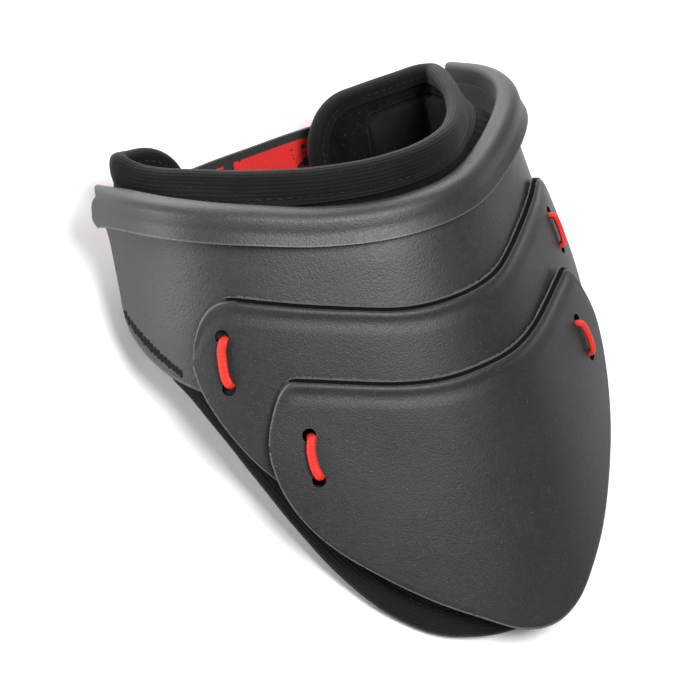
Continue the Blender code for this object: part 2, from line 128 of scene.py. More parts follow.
RIM = (
    # angle, height
    (0.0, -0.8), (15.0, -0.4), (30.0, 1.7), (45.0, 5.9), (60.0, 9.4), (75.0, 10.6), (90.0, 8.7),
)
SHELL = (
    # lip angle, foot angle, foot height
    (0.0, 0.0, -70.0), (11.0, 10.4, -69.6), (22.0, 20.4, -68.4), (33.0, 30.0, -66.2),
    (44.0, 39.6, -63.0), (54.0, 48.0, -59.2), (64.0, 55.4, -55.4), (73.0, 62.6, -50.8),
    (80.0, 68.6, -45.4), (84.4, 73.0, -40.4), (87.2, 76.0, -35.4), (88.8, 77.7, -30.2),
)
# The rolled lip's visible face, from inside the rim over to the flap's lower corner
ROLL_FACE = (
    # outward from the rim, height above the rim, how far round it reaches past the shell's end
    (0.0, -6.6, -0.5), (-0.05, -3.2, 0.6), (0.3, -0.9, 1.3), (1.5, 0.35, 1.5), (3.4, 0.5, 1.1),
    (5.2, 0.05, -0.6), (6.9, -0.95, -2.6), (8.2, -2.5, -2.2), (8.9, -4.6, -2.0), (9.4, -7.0, -2.2),
    (10.3, -9.2, -3.0), (11.1, -11.0, -5.2),
)
# and its hidden face, from the flap's lower corner back to the wall
ROLL_BACK = (
    (9.0, -11.1, -5.2), (8.0, -9.2, -3.0), (7.1, -7.0, -2.2), (6.5, -4.9, -2.0), (5.7, -3.5, -2.2),
    (4.6, -2.9, -2.4), (3.4, -3.4, -0.4), (2.75, -4.8, -0.3), (2.6, -6.6, -0.5),
)
UPPER_LAME = (
    # top angle, top height, foot angle, foot height
    (0.0, -37.2, 0.0, -111.0), (12.0, -36.3, 11.0, -109.6), (23.0, -32.9, 22.0, -106.0),
    (34.0, -29.2, 32.0, -99.0), (43.0, -25.9, 40.0, -89.5), (49.5, -23.8, 46.0, -79.5),
    (53.2, -25.0, 50.4, -69.5), (55.8, -29.4, 54.0, -60.0), (57.2, -35.5, 56.5, -51.6),
    (57.8, -41.5, 57.8, -44.5),
)
LOWER_LAME = (
    # top angle, top height, foot angle, foot height
    (0.0, -61.3, 0.0, -154.0), (9.0, -61.0, 6.0, -151.0), (18.0, -58.9, 12.4, -142.6),
    (27.0, -55.6, 19.4, -133.2), (34.0, -53.0, 27.2, -121.4), (38.4, -51.8, 34.4, -109.4),
    (40.4, -53.8, 39.2, -98.4), (42.0, -58.6, 42.2, -87.6), (43.4, -65.6, 43.6, -78.2),
    (43.9, -70.6, 43.9, -73.6),
)
# Outer face of a lame under its top edge: a rounded edge, a pressed bead and the groove under it
LAME_RIM = (
    # distance below the edge, height of the face there
    (0.0, -0.75), (0.3, -0.38), (0.7, -0.16), (1.2, -0.06), (1.9, -0.10), (2.8, -0.28),
    (3.8, -0.42), (5.0, -0.38), (6.3, -0.20), (7.5, -0.06), (8.6, 0.0), (9.4, 0.0),
)
HOLES = {
    # angle, height on the lame's outer face
    ("upper", -1): ((51.5, -34.9), (50.8, -52.1)),
    ("upper", 1): ((48.3, -35.3), (47.6, -48.9)),
    ("lower", -1): ((36.4, -69.5), (35.7, -84.9)),
    ("lower", 1): ((34.5, -68.7), (35.6, -83.0)),
}
# How the lames' ends stand off from the wall
STAND = {
    # angle where it starts, how much further round it is whole, then how far on right and left
    "upper": (25.0, 32.0, 0.7, 1.4),
    "lower": (14.0, 28.0, 0.8, 2.0),
}
STAND_FOOT = -112.0
STAND_RISE = 40.0
LACE_ROUTE = (
    # along the stitch, outward, sideways to the front
    (0.8, -5.0, 0.6), (0.8, -1.6, 0.6), (1.0, 0.25, 0.6), (1.5, 1.1, 0.4), (2.7, 1.45, 0.0),
    (5.4, 1.5, -0.6),
)
BAND = (
    # angle, height of the top edge, radius of its outer face there
    (0.0, 11.2, 79.3), (10.0, 11.2, 78.3), (20.0, 11.2, 75.6), (30.0, 11.3, 72.6),
    (40.0, 11.6, 70.2), (50.0, 12.0, 68.8), (60.0, 12.5, 68.4), (73.0, 12.8, 70.0),
    (85.0, 13.0, 74.4),
)
BIB = (
    # angle, height of the lower edge
    (0.0, -154.6), (6.0, -154.0), (12.0, -152.0), (18.0, -148.4), (24.0, -141.2), (30.0, -130.4),
    (36.0, -116.6), (42.0, -100.4), (48.0, -84.2), (54.0, -69.8), (60.0, -57.8), (66.0, -49.2),
    (72.0, -40.4), (77.0, -34.8), (81.0, -31.0), (85.0, -29.0),
)
WINGS = {
    1: {"run": 55.0, "tip": 15.0, "crest": 11.0},
    -1: {"run": 21.0, "tip": 44.0, "crest": 15.6},
}
STRAP = (
    # distance from the middle, how far back
    (0.0, 10.0), (16.0, 9.8), (32.0, 9.0), (48.0, 7.8), (64.0, 6.4),
)

LAMES = {"upper": UPPER_LAME, "lower": LOWER_LAME}

# The studio: the camera's way round, height and roll; its place right, up and back from the neck
CAMERA_ANGLES = (-35.522, 22.0, 7.639)
CAMERA_PLACE = (0.0260, -0.0742, 0.9509)
LENS = 133.7
ROOM_LIGHT = 0.22
LIGHTS = (
    # name, place, size, power
    ("overhead_light", (0.05, 0.45, 0.95), 0.9, 13.0),
    ("left_light", (-1.05, 0.05, 0.35), 0.5, 7.0),
    ("right_light", (0.70, 0.15, 0.85), 0.4, 4.5),
    ("front_light", (-0.10, -1.00, 0.50), 0.55, 13.5),
)


# Sizes and colours that a user would change

def length(name, default, description):
    return bpy.props.FloatProperty(name=name, description=description, default=default,
                                   min=0.0, subtype="DISTANCE", unit="LENGTH")


def colour(name, default, description):
    return bpy.props.FloatVectorProperty(name=name, description=description, default=default,
                                         min=0.0, max=1.0, size=3, subtype="COLOR")


class GorgetSizes(bpy.types.PropertyGroup):
    wall: length("Collar wall", 0.0026, "Thickness of the collar and its rolled lip")
    lame: length("Lame", 0.0024, "Thickness of each throat lame")
    hole: length("Lace hole", 0.0048, "Diameter of the punched lace holes")
    lace_width: length("Lace width", 0.0032, "Width of the flattened lacing cord")
    lace_thickness: length("Lace thickness", 0.0021, "Thickness of the flattened lacing cord")
    tape: length("Binding tape", 0.0012, "Thickness of the binding tape")
    tape_leg: length("Binding outside", 0.010, "How far the tape reaches in over the outer face")
    inner_leg: length("Binding inside", 0.005, "How far the tape reaches in over the inner face")
    stitch: length("Stitch", 0.0026, "Length of one stitch along the binding")
    strap_width: length("Strap width", 0.020, "Width of the rear strap")
    strap_thickness: length("Strap thickness", 0.0016, "Thickness of the rear strap")


class GorgetColours(bpy.types.PropertyGroup):
    collar: colour("Collar", (0.022, 0.022, 0.0225), "Moulded collar")
    lames: colour("Lames", (0.016, 0.016, 0.0164), "Throat lames")
    padding: colour("Liner", (0.004, 0.004, 0.0044), "Liner fabric")
    panel: colour("Neck panel", (0.011, 0.011, 0.0115), "Smoother panel against the neck")
    binding: colour("Binding", (0.005, 0.005, 0.0053), "Ribbed binding tape")
    thread: colour("Thread", (0.012, 0.012, 0.0125), "Sewing thread")
    cord: colour("Lace", (0.80, 0.030, 0.018), "Lacing cord")
    strap: colour("Strap", (0.80, 0.012, 0.009), "Rear strap")
    strap_edge: colour("Strap edge", (0.012, 0.012, 0.013), "Edges and pattern of the strap")
    floor: colour("Floor", (0.94, 0.94, 0.94), "Studio floor")


# Forms

def mm(key):
    """One of the sizes that a user would change, in millimetres."""
    return getattr(bpy.context.scene.gorget_sizes, key) * 1000


def tint(key):
    """One of the colours that a user would change."""
    return tuple(getattr(bpy.context.scene.gorget_colours, key))


def ease(x):
    """0 below 0, 1 above 1, and a smooth step between them."""
    x = np.clip(x, 0.0, 1.0)
    return x * x * (3.0 - 2.0 * x)


def hump(x, centre, width):
    """1 at the centre, falling smoothly to nothing about two widths away."""
    return np.exp(-((x - centre) / width) ** 2)


def unit(vectors):
    """The same directions, one long."""
    return vectors / np.linalg.norm(vectors, axis=-1, keepdims=True)


def zigzag(count):
    """1 and -1 by turns, a row each."""
    return np.where(np.arange(count) % 2 == 0, 1.0, -1.0)[:, None]


class Line:
    """A smooth line through a column of a table, against its first column or its row numbers."""

    def __init__(self, table, column, start_level=True, by_row=False):
        data = np.array(table, float)
        self.x = np.arange(len(data), dtype=float) if by_row else data[:, 0]
        self.y = data[:, column]
        self.slope = np.gradient(self.y, self.x)
        if start_level:
            self.slope[0] = 0.0

    def __call__(self, x):
        x = np.asarray(x, float)
        i = np.clip(np.searchsorted(self.x, x) - 1, 0, len(self.x) - 2)
        span = self.x[i + 1] - self.x[i]
        t = (x - self.x[i]) / span
        t2, t3 = t ** 2, t ** 3
        near = (2 * t3 - 3 * t2 + 1) * self.y[i] + (t3 - 2 * t2 + t) * span * self.slope[i]
        far = (3 * t2 - 2 * t3) * self.y[i + 1] + (t3 - t2) * span * self.slope[i + 1]
        return near + far


def between_rows(table, t, columns, start_level=False):
    """Columns of a table, read smoothly at row numbers t."""
    return [Line(table, column, start_level, True)(t) for column in columns]


rim_line = Line(RIM, 1)
band_top = Line(BAND, 1)
band_radius = Line(BAND, 2)
bib_line = Line(BIB, 1)


def polar(angle, radius, z):
    """Points at an angle round the neck, this far from its middle."""
    a = np.radians(angle)
    return np.stack(np.broadcast_arrays(radius * np.sin(a), -radius * np.cos(a), z), -1)


def lobe(angle):
    """The slight ridges of the moulding, one of them down the front."""
    return LOBE * np.cos(np.radians(LOBES * angle))


def spread(angle, z):
    """How far the left end springs out, towards the rear and the rim."""
    return SPREAD * ease((angle - 45.0) / 40.0) * ease((z + 45.0) / 40.0)


def cone(angle, z):
    """Radius of the form under the rim, wider towards the foot."""
    return NECK_RADIUS - FLARE * z - FLARE_EASE * z * z + lobe(angle)


def rim_height(angle):
    return rim_line(np.abs(angle))


def wall_radius(angle, z):
    """Outer face of the collar's wall."""
    top = rim_height(angle)
    meeting = RIM_RADIUS + mm("wall") + lobe(angle) - cone(angle, top)
    blend = meeting * ease((z - top + RIM_BLEND) / RIM_BLEND)
    return cone(angle, np.minimum(z, top)) + blend + spread(angle, z)


def wall_point(angle, z, outward):
    return polar(angle, wall_radius(angle, z) + outward, z)


def laid(points):
    """Points of the neck's frame, in millimetres, where they are once the gorget lies down."""
    a = math.radians(LEAN_BACK)
    p = np.asarray(points, float)
    y = p[..., 1] * math.cos(a) + p[..., 2] * math.sin(a) + REST_BACK
    z = -p[..., 1] * math.sin(a) + p[..., 2] * math.cos(a) + REST_UP
    return np.stack((p[..., 0], y, z), -1) / 1000


def pressed(points, least):
    """Soft points moved up along the surface's normal until they are at least this high, in mm."""
    a = math.radians(LEAN_BACK)
    height = points[..., 2] * math.cos(a) - points[..., 1] * math.sin(a) + REST_UP
    rise = np.maximum(least - height, 0.0)[..., None]
    return points + rise * np.array((0.0, -math.sin(a), math.cos(a)))


def unevenness(points, size, seed=0.0):
    """Slow waves over a form, from -1 to 1, for the hand-made look of moulded sheet."""
    x, y, z = np.moveaxis(np.asarray(points) / size, -1, 0)
    waves = (np.sin(x * 1.9 + z * 1.1 + seed) + np.sin(y * 2.3 - z * 1.7 + 2.0 + seed)
             + np.sin(x * 1.3 - y * 1.6 + z * 2.9 + 4.0 + seed))
    return waves / 3


# The liner's surface: a place is a distance along its wall from the front, negative on the right

def fold_run():
    """Length of the fold at the rear, along the middle of the seam."""
    return math.radians(FOLD_TURN) * (FOLD_RADIUS - SEAM_OUTSET - SEAM_CORE / 2)


def wing(place, key):
    return np.where(place < 0.0, WINGS[-1][key], WINGS[1][key])


def neck_angle(place):
    """How far round the neck a place is, up to where the fold starts."""
    return FOLD_ANGLE * np.minimum(np.abs(place) / FRONT_RUN, 1.0)


def past_front(place):
    return np.abs(place) - FRONT_RUN


def tip_place(place):
    return FRONT_RUN + fold_run() + wing(place, "run")


def to_tip(place):
    """Distance from a place on to its own end's tip."""
    return tip_place(place) - np.abs(place)


def inside_shell(angle, z):
    """Radius of the liner's outer face where it lies along the collar."""
    return wall_radius(angle, z) - mm("wall") - GAP


def liner_point(place, z, depth):
    """Points of the liner this deep inside its outer face."""
    place, z, depth = np.broadcast_arrays(place, z, depth)
    side = np.where(place < 0.0, -1.0, 1.0)
    angle, beyond = neck_angle(place), past_front(place)
    top, band = band_top(angle), band_radius(angle)
    lean = band - inside_shell(side * angle, top)
    lean = lean * ease((z - LEAN_START) / (top - LEAN_START))
    leaning = inside_shell(side * angle, z) + lean
    upright = ease((angle - UPRIGHT_START) / (FOLD_ANGLE - UPRIGHT_START))
    radius = leaning + (band - leaning) * upright
    front = polar(angle, radius - depth, z)
    turn = FOLD_ANGLE + FOLD_TURN * np.clip(beyond / fold_run(), 0.0, 1.0)
    centre = polar(FOLD_ANGLE, radius - FOLD_RADIUS, z)
    fold = centre + polar(turn, FOLD_RADIUS - depth, 0.0)
    heading = polar(FOLD_ANGLE + FOLD_TURN - 90.0, 1.0, 0.0)
    outer_end = centre + polar(turn, FOLD_RADIUS, 0.0)
    reach = (outer_end[..., 0] - wing(place, "tip")) / heading[0]
    left = to_tip(place)
    stretch = (reach - TIP_ZONE) / (wing(place, "run") - TIP_ZONE)
    left = left + np.maximum(left - TIP_ZONE, 0.0) * (stretch - 1.0)
    flat = fold - heading * (reach - left)[..., None]
    point = np.where(beyond[..., None] <= 0.0, front, fold)
    point = np.where(beyond[..., None] > fold_run(), flat, point)
    return point * np.stack((side, np.ones_like(side), np.ones_like(side)), -1)


def liner_out(place, z):
    """The way off the liner's inner face, a millimetre long."""
    return liner_point(place, z, PAD + 1.0) - liner_point(place, z, PAD)


def corner_drop(place):
    """How far the ends' round corners come in from the top and the foot."""
    inside = np.clip(WING_CORNER - to_tip(place), 0.0, WING_CORNER)
    return WING_CORNER - np.sqrt(WING_CORNER ** 2 - inside ** 2)


def liner_top(place):
    band = band_top(neck_angle(place))
    rise = (past_front(place) + CREST_LEAD) / (CREST_LEAD + fold_run())
    knob = np.where(place < 0.0, KNOB * hump(np.abs(place), FRONT_RUN + 2.0, 6.0), 0.0)
    return band + (wing(place, "crest") - band) * ease(rise) + knob - corner_drop(place)


def liner_foot(place):
    return bib_line(neck_angle(place)) + corner_drop(place)


def from_edge(place, z):
    """Distance in from the liner's nearest edge."""
    sides = np.minimum(liner_top(place) - z, z - liner_foot(place))
    return np.minimum(sides, to_tip(place))


def seam_middle(place, z):
    return liner_point(place, z, SEAM_OUTSET + SEAM_CORE / 2)


def liner_edge(count):
    """The liner's whole edge as evenly spaced rows: (place, height), length so far, all of it."""
    left, right = tip_place(1.0) - 0.01, -tip_place(-1.0) + 0.01
    over = np.linspace(right, left, 1500)
    down = np.linspace(liner_top(left), liner_foot(left), 60)[1:-1]
    up = np.linspace(liner_foot(right), liner_top(right), 60)[1:-1]
    place = np.concatenate((over, np.full_like(down, left), over[::-1], np.full_like(up, right)))
    z = np.concatenate((liner_top(over), down, liner_foot(over[::-1]), up))
    points = seam_middle(place, z)
    steps = np.linalg.norm(np.roll(points, -1, 0) - points, axis=1)
    run = np.concatenate(((0.0,), np.cumsum(steps)))
    even = run[-1] * np.arange(count) / count
    place, z = (np.interp(even, run, np.append(a, a[0])) for a in (place, z))
    return place, z, even, run[-1]


def edge_frame(place, z):
    """For each row of the edge, the change of (place, height) for a millimetre into the liner."""
    middle = seam_middle(place, z)
    tangent = np.roll(middle, -1, 0) - np.roll(middle, 1, 0)
    small = 0.05 * np.where(place < 0.0, 1.0, -1.0)
    across = (seam_middle(place + small, z) - middle) / small[:, None]
    up = (seam_middle(place, z + 0.05) - middle) / 0.05
    inward = unit(np.cross(tangent, np.cross(across, up)))
    a, b, c = (across * across).sum(1), (across * up).sum(1), (up * up).sum(1)
    d, e = (across * inward).sum(1), (up * inward).sum(1)
    step = np.stack((c * d - b * e, a * e - b * d), 1) / (a * c - b * b)[:, None]
    outward = (BAND_FOOT - z) * step[:, 1] < 0
    top_or_foot = np.abs(step[:, 1]) > 0.3
    return step * np.where(top_or_foot & outward, -1.0, 1.0)[:, None]


# Making and finishing meshes

def deselect_all():
    for piece in bpy.context.selected_objects:
        piece.select_set(False)


def make_active(piece):
    deselect_all()
    piece.select_set(True)
    bpy.context.view_layer.objects.active = piece


def read(items, what, width, kind=float):
    """What each of a mesh's items says, a row each."""
    flat = np.empty(len(items) * width, kind)
    items.foreach_get(what, flat)
    return flat.reshape(-1, width)


def get_points(piece):
    return read(piece.data.vertices, "co", 3)


def set_points(piece, points):
    piece.data.vertices.foreach_set("co", np.asarray(points, float).ravel())
    piece.data.update()


def corner_vertices(piece):
    """The vertex at each corner of the mesh's faces."""
    return read(piece.data.loops, "vertex_index", 1, int)[:, 0]


def set_map(piece, name, first, second):
    """Gives every vertex a pair of numbers, kept as a UV map."""
    layers = piece.data.uv_layers
    layer = layers.get(name) or layers.new(name=name)
    pairs = np.empty((len(piece.data.vertices), 2))
    pairs[:, 0], pairs[:, 1] = first, second
    layer.data.foreach_set("uv", pairs[corner_vertices(piece)].ravel())


def get_map(piece, name):
    """The pairs of a UV map, as two rows of numbers."""
    values = np.zeros((len(piece.data.vertices), 2))
    values[corner_vertices(piece)] = read(piece.data.uv_layers[name].data, "uv", 2)
    return values.T


def grid_of(name, along, across):
    """A flat grid to be bent: its object, and u and v in 0 to 1 for each vertex."""
    deselect_all()
    bpy.ops.mesh.primitive_grid_add(x_subdivisions=along, y_subdivisions=across, size=1.0,
                                    calc_uvs=True)
    piece = bpy.context.object
    piece.name = piece.data.name = name
    flat = get_points(piece) + 0.5
    return piece, flat[:, 0], flat[:, 1]


def sheet_of(name, along, across, form, width, depth):
    """A grid bent over form(u, v) of the neck's frame, with a UV map in metres."""
    piece, u, v = grid_of(name, along, across)
    set_points(piece, laid(form(u, v)))
    set_map(piece, "UVMap", u * width, v * depth)
    return piece


def modify(piece, kind, **settings):
    """Adds a modifier and applies it."""
    make_active(piece)
    modifier = piece.modifiers.new(kind.lower(), kind)
    for key, value in settings.items():
        setattr(modifier, key, value)
    bpy.ops.object.modifier_apply(modifier=modifier.name)


def edit_all(piece, *steps):
    """Runs edit-mode steps on a whole mesh."""
    make_active(piece)
    bpy.ops.object.mode_set(mode="EDIT")
    bpy.ops.mesh.select_mode(type="VERT")
    bpy.ops.mesh.select_all(action="SELECT")
    for step in steps:
        step()
    bpy.ops.object.mode_set(mode="OBJECT")


def join_doubles():
    bpy.ops.mesh.remove_doubles(threshold=JOIN_WITHIN)


def turn_out():
    bpy.ops.mesh.normals_make_consistent(inside=False)


def close_ends(piece, marks=None):
    """Fills the open loops at a tube's ends, and gives the new faces their marks."""
    make_active(piece)
    before = len(piece.data.loops)
    bpy.ops.object.mode_set(mode="EDIT")
    bpy.ops.mesh.select_mode(type="EDGE")
    bpy.ops.mesh.select_all(action="DESELECT")
    bpy.ops.mesh.select_non_manifold()
    bpy.ops.mesh.fill_holes(sides=0)
    bpy.ops.object.mode_set(mode="OBJECT")
    if marks:
        layer = piece.data.uv_layers["marks"].data
        for corner in range(before, len(layer)):
            layer[corner].uv = marks
    edit_all(piece, turn_out)


def smooth_shade(piece, angle):
    make_active(piece)
    bpy.ops.object.shade_smooth_by_angle(angle=math.radians(angle))


def give(piece, material, node=None, raw=None):
    """Puts the material on a finished piece, which rides on the gorget and may stand for a node.

    A second material, a near-black raw cut with painted shadow, goes on the faces that the marks
    call a cut top edge.
    """
    piece.data.materials.clear()
    piece.data.materials.append(material)
    if raw:
        piece.data.materials.append(raw)
        marks = piece.data.uv_layers["marks"].data
        for face in piece.data.polygons:
            cut = [min(marks[corner].uv) for corner in face.loop_indices]
            face.material_index = int(sum(cut) / len(cut) > RAW_SHARE)
    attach(piece, "root")
    if node:
        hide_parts(node)
    return piece


def nearest_distance(points, outline):
    """Distance from each point to the nearest point of an outline."""
    best = np.full(len(points), np.inf)
    for place in outline:
        best = np.minimum(best, ((points - place) ** 2).sum(1))
    return np.sqrt(best)


# Materials

# Sockets that share their names with others of their node
OBJECT_COORDINATES = 3
MIX_INPUTS, MIX_OUTPUT = (0, 6, 7), 2
SHADER_INPUTS = ("Base Color", "Roughness", "Normal", "Specular IOR Level", "Sheen Weight",
                 "Sheen Roughness")


def math_step(operation, flip=False):
    """A way of combining a value with another one, or of changing it alone."""
    def step(value, *other):
        values = (value, *other)[::-1 if flip else 1]
        return value.paint.node("ShaderNodeMath", {"operation": operation}, *values)
    return step


class Value:
    """A socket that can be used in an expression."""

    def __init__(self, paint, socket):
        self.paint = paint
        self.socket = socket

    __add__ = __radd__ = math_step("ADD")
    __mul__ = __rmul__ = math_step("MULTIPLY")
    __sub__ = math_step("SUBTRACT")
    __rsub__ = math_step("SUBTRACT", flip=True)
    wave = math_step("SINE")
    least = math_step("MINIMUM")
    most = math_step("MAXIMUM")

    def between(self, low, high):
        """0 at low, 1 at high, smooth between them."""
        settings = {"interpolation_type": "SMOOTHSTEP"}
        return self.paint.node("ShaderNodeMapRange", settings, self, low, high, 0.0, 1.0)


class Paint:
    """A material being built from nodes."""

    def __init__(self, name):
        self.material = bpy.data.materials.new(name)
        self.material.use_nodes = True
        self.tree = self.material.node_tree
        self.shader = self.tree.nodes["Principled BSDF"]

    def set_input(self, socket, value):
        if isinstance(value, Value):
            self.tree.links.new(value.socket, socket)
        elif value is not None:
            if socket.type == "RGBA" and len(value) == 3:
                value = (*value, 1.0)
            socket.default_value = value

    def node(self, kind, settings=None, *inputs, output=0, **named):
        """A node's output; settings come first, then its inputs in order or by their names."""
        made = self.tree.nodes.new(kind)
        for key, value in (settings or {}).items():
            setattr(made, key, value)
        for socket, value in zip([s for s in made.inputs if s.enabled], inputs):
            self.set_input(socket, value)
        for key, value in named.items():
            self.set_input(made.inputs[key], value)
        return Value(self, [s for s in made.outputs if s.enabled][output])

    def place(self):
        """Where a point is on the object, in metres."""
        return self.node("ShaderNodeTexCoord", output=OBJECT_COORDINATES)

    def pair(self, name="UVMap"):
        """The two numbers of a UV map."""
        found = self.node("ShaderNodeUVMap", {"uv_map": name})
        split = self.tree.nodes.new("ShaderNodeSeparateXYZ")
        self.tree.links.new(found.socket, split.inputs[0])
        return Value(self, split.outputs[0]), Value(self, split.outputs[1])

    def combine(self, x, y, z=0.0):
        return self.node("ShaderNodeCombineXYZ", None, x, y, z)

    def noise(self, where, scale, detail=3.0, roughness=0.55):
        return self.node("ShaderNodeTexNoise", {"noise_dimensions": "3D"}, Vector=where,
                         Scale=scale, Detail=detail, Roughness=roughness)

    def specks(self, where, scale, least, blur):
        """Rare fine specks of dust or lint."""
        return (self.noise(where, scale, 0.0) - least).between(0.0, blur)

    def cells(self, where, scale):
        return self.node("ShaderNodeTexVoronoi", {"feature": "F1"}, Vector=where, Scale=scale)

    def mix(self, share, first, second):
        made = self.tree.nodes.new("ShaderNodeMix")
        made.data_type = "RGBA"
        for index, value in zip(MIX_INPUTS, (share, first, second)):
            self.set_input(made.inputs[index], value)
        return Value(self, made.outputs[MIX_OUTPUT])

    def bump(self, height, distance, strength, before=None):
        return self.node("ShaderNodeBump", Strength=strength, Distance=distance, Height=height,
                         Normal=before)

    def finish(self, base, roughness, normal=None, gloss=0.5, fuzz=(0.0, 0.5)):
        """The finished material; fuzz is how much sheen it has and how rough that is."""
        for key, value in zip(SHADER_INPUTS, (base, roughness, normal, gloss, *fuzz)):
            self.set_input(self.shader.inputs[key], value)
        return self.material


def shade(base, factor):
    """A darker or lighter version of a colour."""
    return tuple(min(c * factor, 1.0) for c in base)


def grey(tone):
    return tone, tone, tone


def ripple(value, pitch):
    """Waves this far apart along a value in metres."""
    return (value * (2.0 * math.pi / pitch)).wave()


def leather_finish(name, base, grain, specks, gloss):
    """Moulded, leather-grained sheet. Cut top edges are near black: raw cut with painted shadow.
    Its other cut faces, and a thin line along its other edges, are lighter: painted highlight.

    Its marks say how far a place is a raw cut and how far the nearest edge is a top edge; its
    edges say how far away that edge is and how much painted highlight the surface gets, or below 0
    how much painted shade darkens it.
    """
    paint = Paint(name)
    where = paint.place()
    cut, at_top = paint.pair("marks")
    edge, painted_light_or_shade = paint.pair("edges")
    clouds = paint.noise(where, 32.0)
    mottle = paint.noise(where, 520.0, roughness=0.6)
    pores = paint.cells(where, grain)
    pebbles = paint.noise(where, grain * 0.75, 2.0, 0.5)
    fibres = paint.noise(where, 900.0, 2.0)
    tone = clouds.between(0.25, 0.75) * 0.5 + mottle.between(0.25, 0.75) * 0.5
    hide = paint.mix(tone, shade(base, 0.72), shade(base, 1.30))
    hide = paint.mix((1.0 - pores.between(0.03, 0.3)) * 0.4, hide, shade(base, 0.4))
    dust = paint.specks(where, 2300.0, 0.80, 0.05) * specks
    hide = paint.mix(dust, hide, (0.20, 0.20, 0.19))
    # Painted highlight: a thin ragged lighter line along the edges that are not top edges, and
    # wherever the edges map asks for it.
    edge_highlight = (1.0 - edge.between(0.0001, 0.0008)) * (1.0 - at_top) * fibres.between(0.15, 0.5)
    hide = paint.mix(edge_highlight.most(painted_light_or_shade) * 0.8, hide, shade(base, 9.0))
    # Painted shade where the edges map is below 0.
    hide = paint.mix((painted_light_or_shade * -1.0).most(0.0), hide, shade(base, 0.15))
    # Cut faces: top ones near black, the raw cut darkened further as painted shadow; the others
    # lighter, a painted highlight.
    raw = paint.mix(fibres, grey(0.002), grey(0.008))
    side = paint.mix(fibres, shade(base, 0.8), shade(base, 3.5))
    hide = paint.mix(cut, hide, paint.mix(at_top, side, raw))
    height = pores.between(0.0, 0.55) * 0.6 + pebbles * 1.1 + mottle * 0.3
    normal = paint.bump(clouds, 0.0014, 0.2, paint.bump(height, 0.00013, 0.55))
    rough = 0.37 + mottle * 0.14 + clouds * 0.10 + cut * 0.5
    return paint.finish(hide, rough, normal, gloss)


def raw_finish(name):
    """Dull, fibrous cut through the thickness, near black: the raw cut's own dark with painted
    shadow of the gap behind it.
    """
    paint = Paint(name)
    fibres = paint.noise(paint.place(), 900.0)
    cut = paint.mix(fibres, grey(0.001), grey(0.007))
    return paint.finish(cut, 0.95, paint.bump(fibres, 0.0002, 0.6), gloss=0.08)


def fabric_finish(name, base, panel):
    """Dense brushed lining; the neck panel, where the marks say so, is darker and smoother."""
    paint = Paint(name)
    where = paint.place()
    on_panel, _ = paint.pair("marks")
    weave = paint.cells(where, 1400.0)
    nap = paint.noise(where, 800.0, roughness=0.65)
    clouds = paint.noise(where, 60.0, 2.0)
    tone = nap.between(0.3, 0.7) * 0.65 + clouds.between(0.3, 0.7) * 0.35
    cloth = paint.mix(tone, shade(base, 0.62), shade(base, 1.6))
    smooth = paint.mix(tone, shade(panel, 0.85), shade(panel, 1.2))
    cloth = paint.mix(on_panel, cloth, smooth)
    cloth = paint.mix(paint.specks(where, 1500.0, 0.80, 0.03) * 0.35, cloth, grey(0.10))
    normal = paint.bump((weave + nap * 0.8) * (1.0 - on_panel * 0.6), 0.00022, 0.7)
    return paint.finish(cloth, 0.9, normal, gloss=0.1, fuzz=(0.05, 0.5))


def ribbed_tape_finish(base):
    """Elastic binding with fine ribs that run along it; towards the liner's ends the ribs are
    calmer and painted shade darkens it.
    """
    paint = Paint("ribbed_tape")
    along, across = paint.pair()
    _, calm_shaded_ends = paint.pair("marks")
    where = paint.place()
    drift = paint.noise(paint.combine(along * 30.0, across * 60.0), 1.0, 1.0)
    rib = ripple(across + drift * 0.0005, 0.00112) * 0.5 + 0.5
    knit = (along * (2.0 * math.pi / 0.00075) + rib * 1.6).wave() * 0.5 + 0.5
    fuzz = paint.noise(where, 1100.0, roughness=0.7)
    wear = paint.noise(where, 130.0, 2.0)
    ribbed = 1.0 - calm_shaded_ends * 0.7
    tone = fuzz.between(0.3, 0.75) * 0.5 + wear.between(0.3, 0.7) * 0.3 + knit * 0.2
    cloth = paint.mix(tone, shade(base, 0.7), shade(base, 2.0))
    cloth = paint.mix((1.0 - rib.between(0.05, 0.55)) * ribbed * 0.5, cloth, shade(base, 0.4))
    # Painted shade on the liner's ends.
    cloth = paint.mix(calm_shaded_ends * 0.6, cloth, shade(base, 0.45))
    cloth = paint.mix(paint.specks(where, 1400.0, 0.79, 0.03) * 0.15, cloth, grey(0.14))
    normal = paint.bump(rib * ribbed + knit * rib * 0.4 + fuzz * 0.5, 0.00014, 0.7)
    return paint.finish(cloth, 0.8, normal, gloss=0.18, fuzz=(0.08, 0.45))


def thread_finish(name, base):
    """Dull sewing thread."""
    paint = Paint(name)
    twist = paint.noise(paint.place(), 2500.0, 2.0)
    cloth = paint.mix(twist, shade(base, 0.6), shade(base, 2.2))
    return paint.finish(cloth, 0.7, paint.bump(twist, 0.0001, 0.6), gloss=0.25)


def cord_finish(base):
    """Flattened cord with a tight braided cover."""
    paint = Paint("lacing_cord")
    along, around = paint.pair()
    right_hand = (along * 5200.0 + around * 37.7).wave()
    left_hand = (along * 5200.0 - around * 37.7).wave()
    braid = (right_hand * left_hand) * 0.5 + 0.5
    fuzz = paint.noise(paint.place(), 1000.0)
    cloth = paint.mix(braid * 0.5 + fuzz * 0.35, shade(base, 0.62), shade(base, 1.15))
    normal = paint.bump(braid + fuzz * 0.4, 0.00012, 0.5)
    return paint.finish(cloth, 0.5, normal, gloss=0.3)


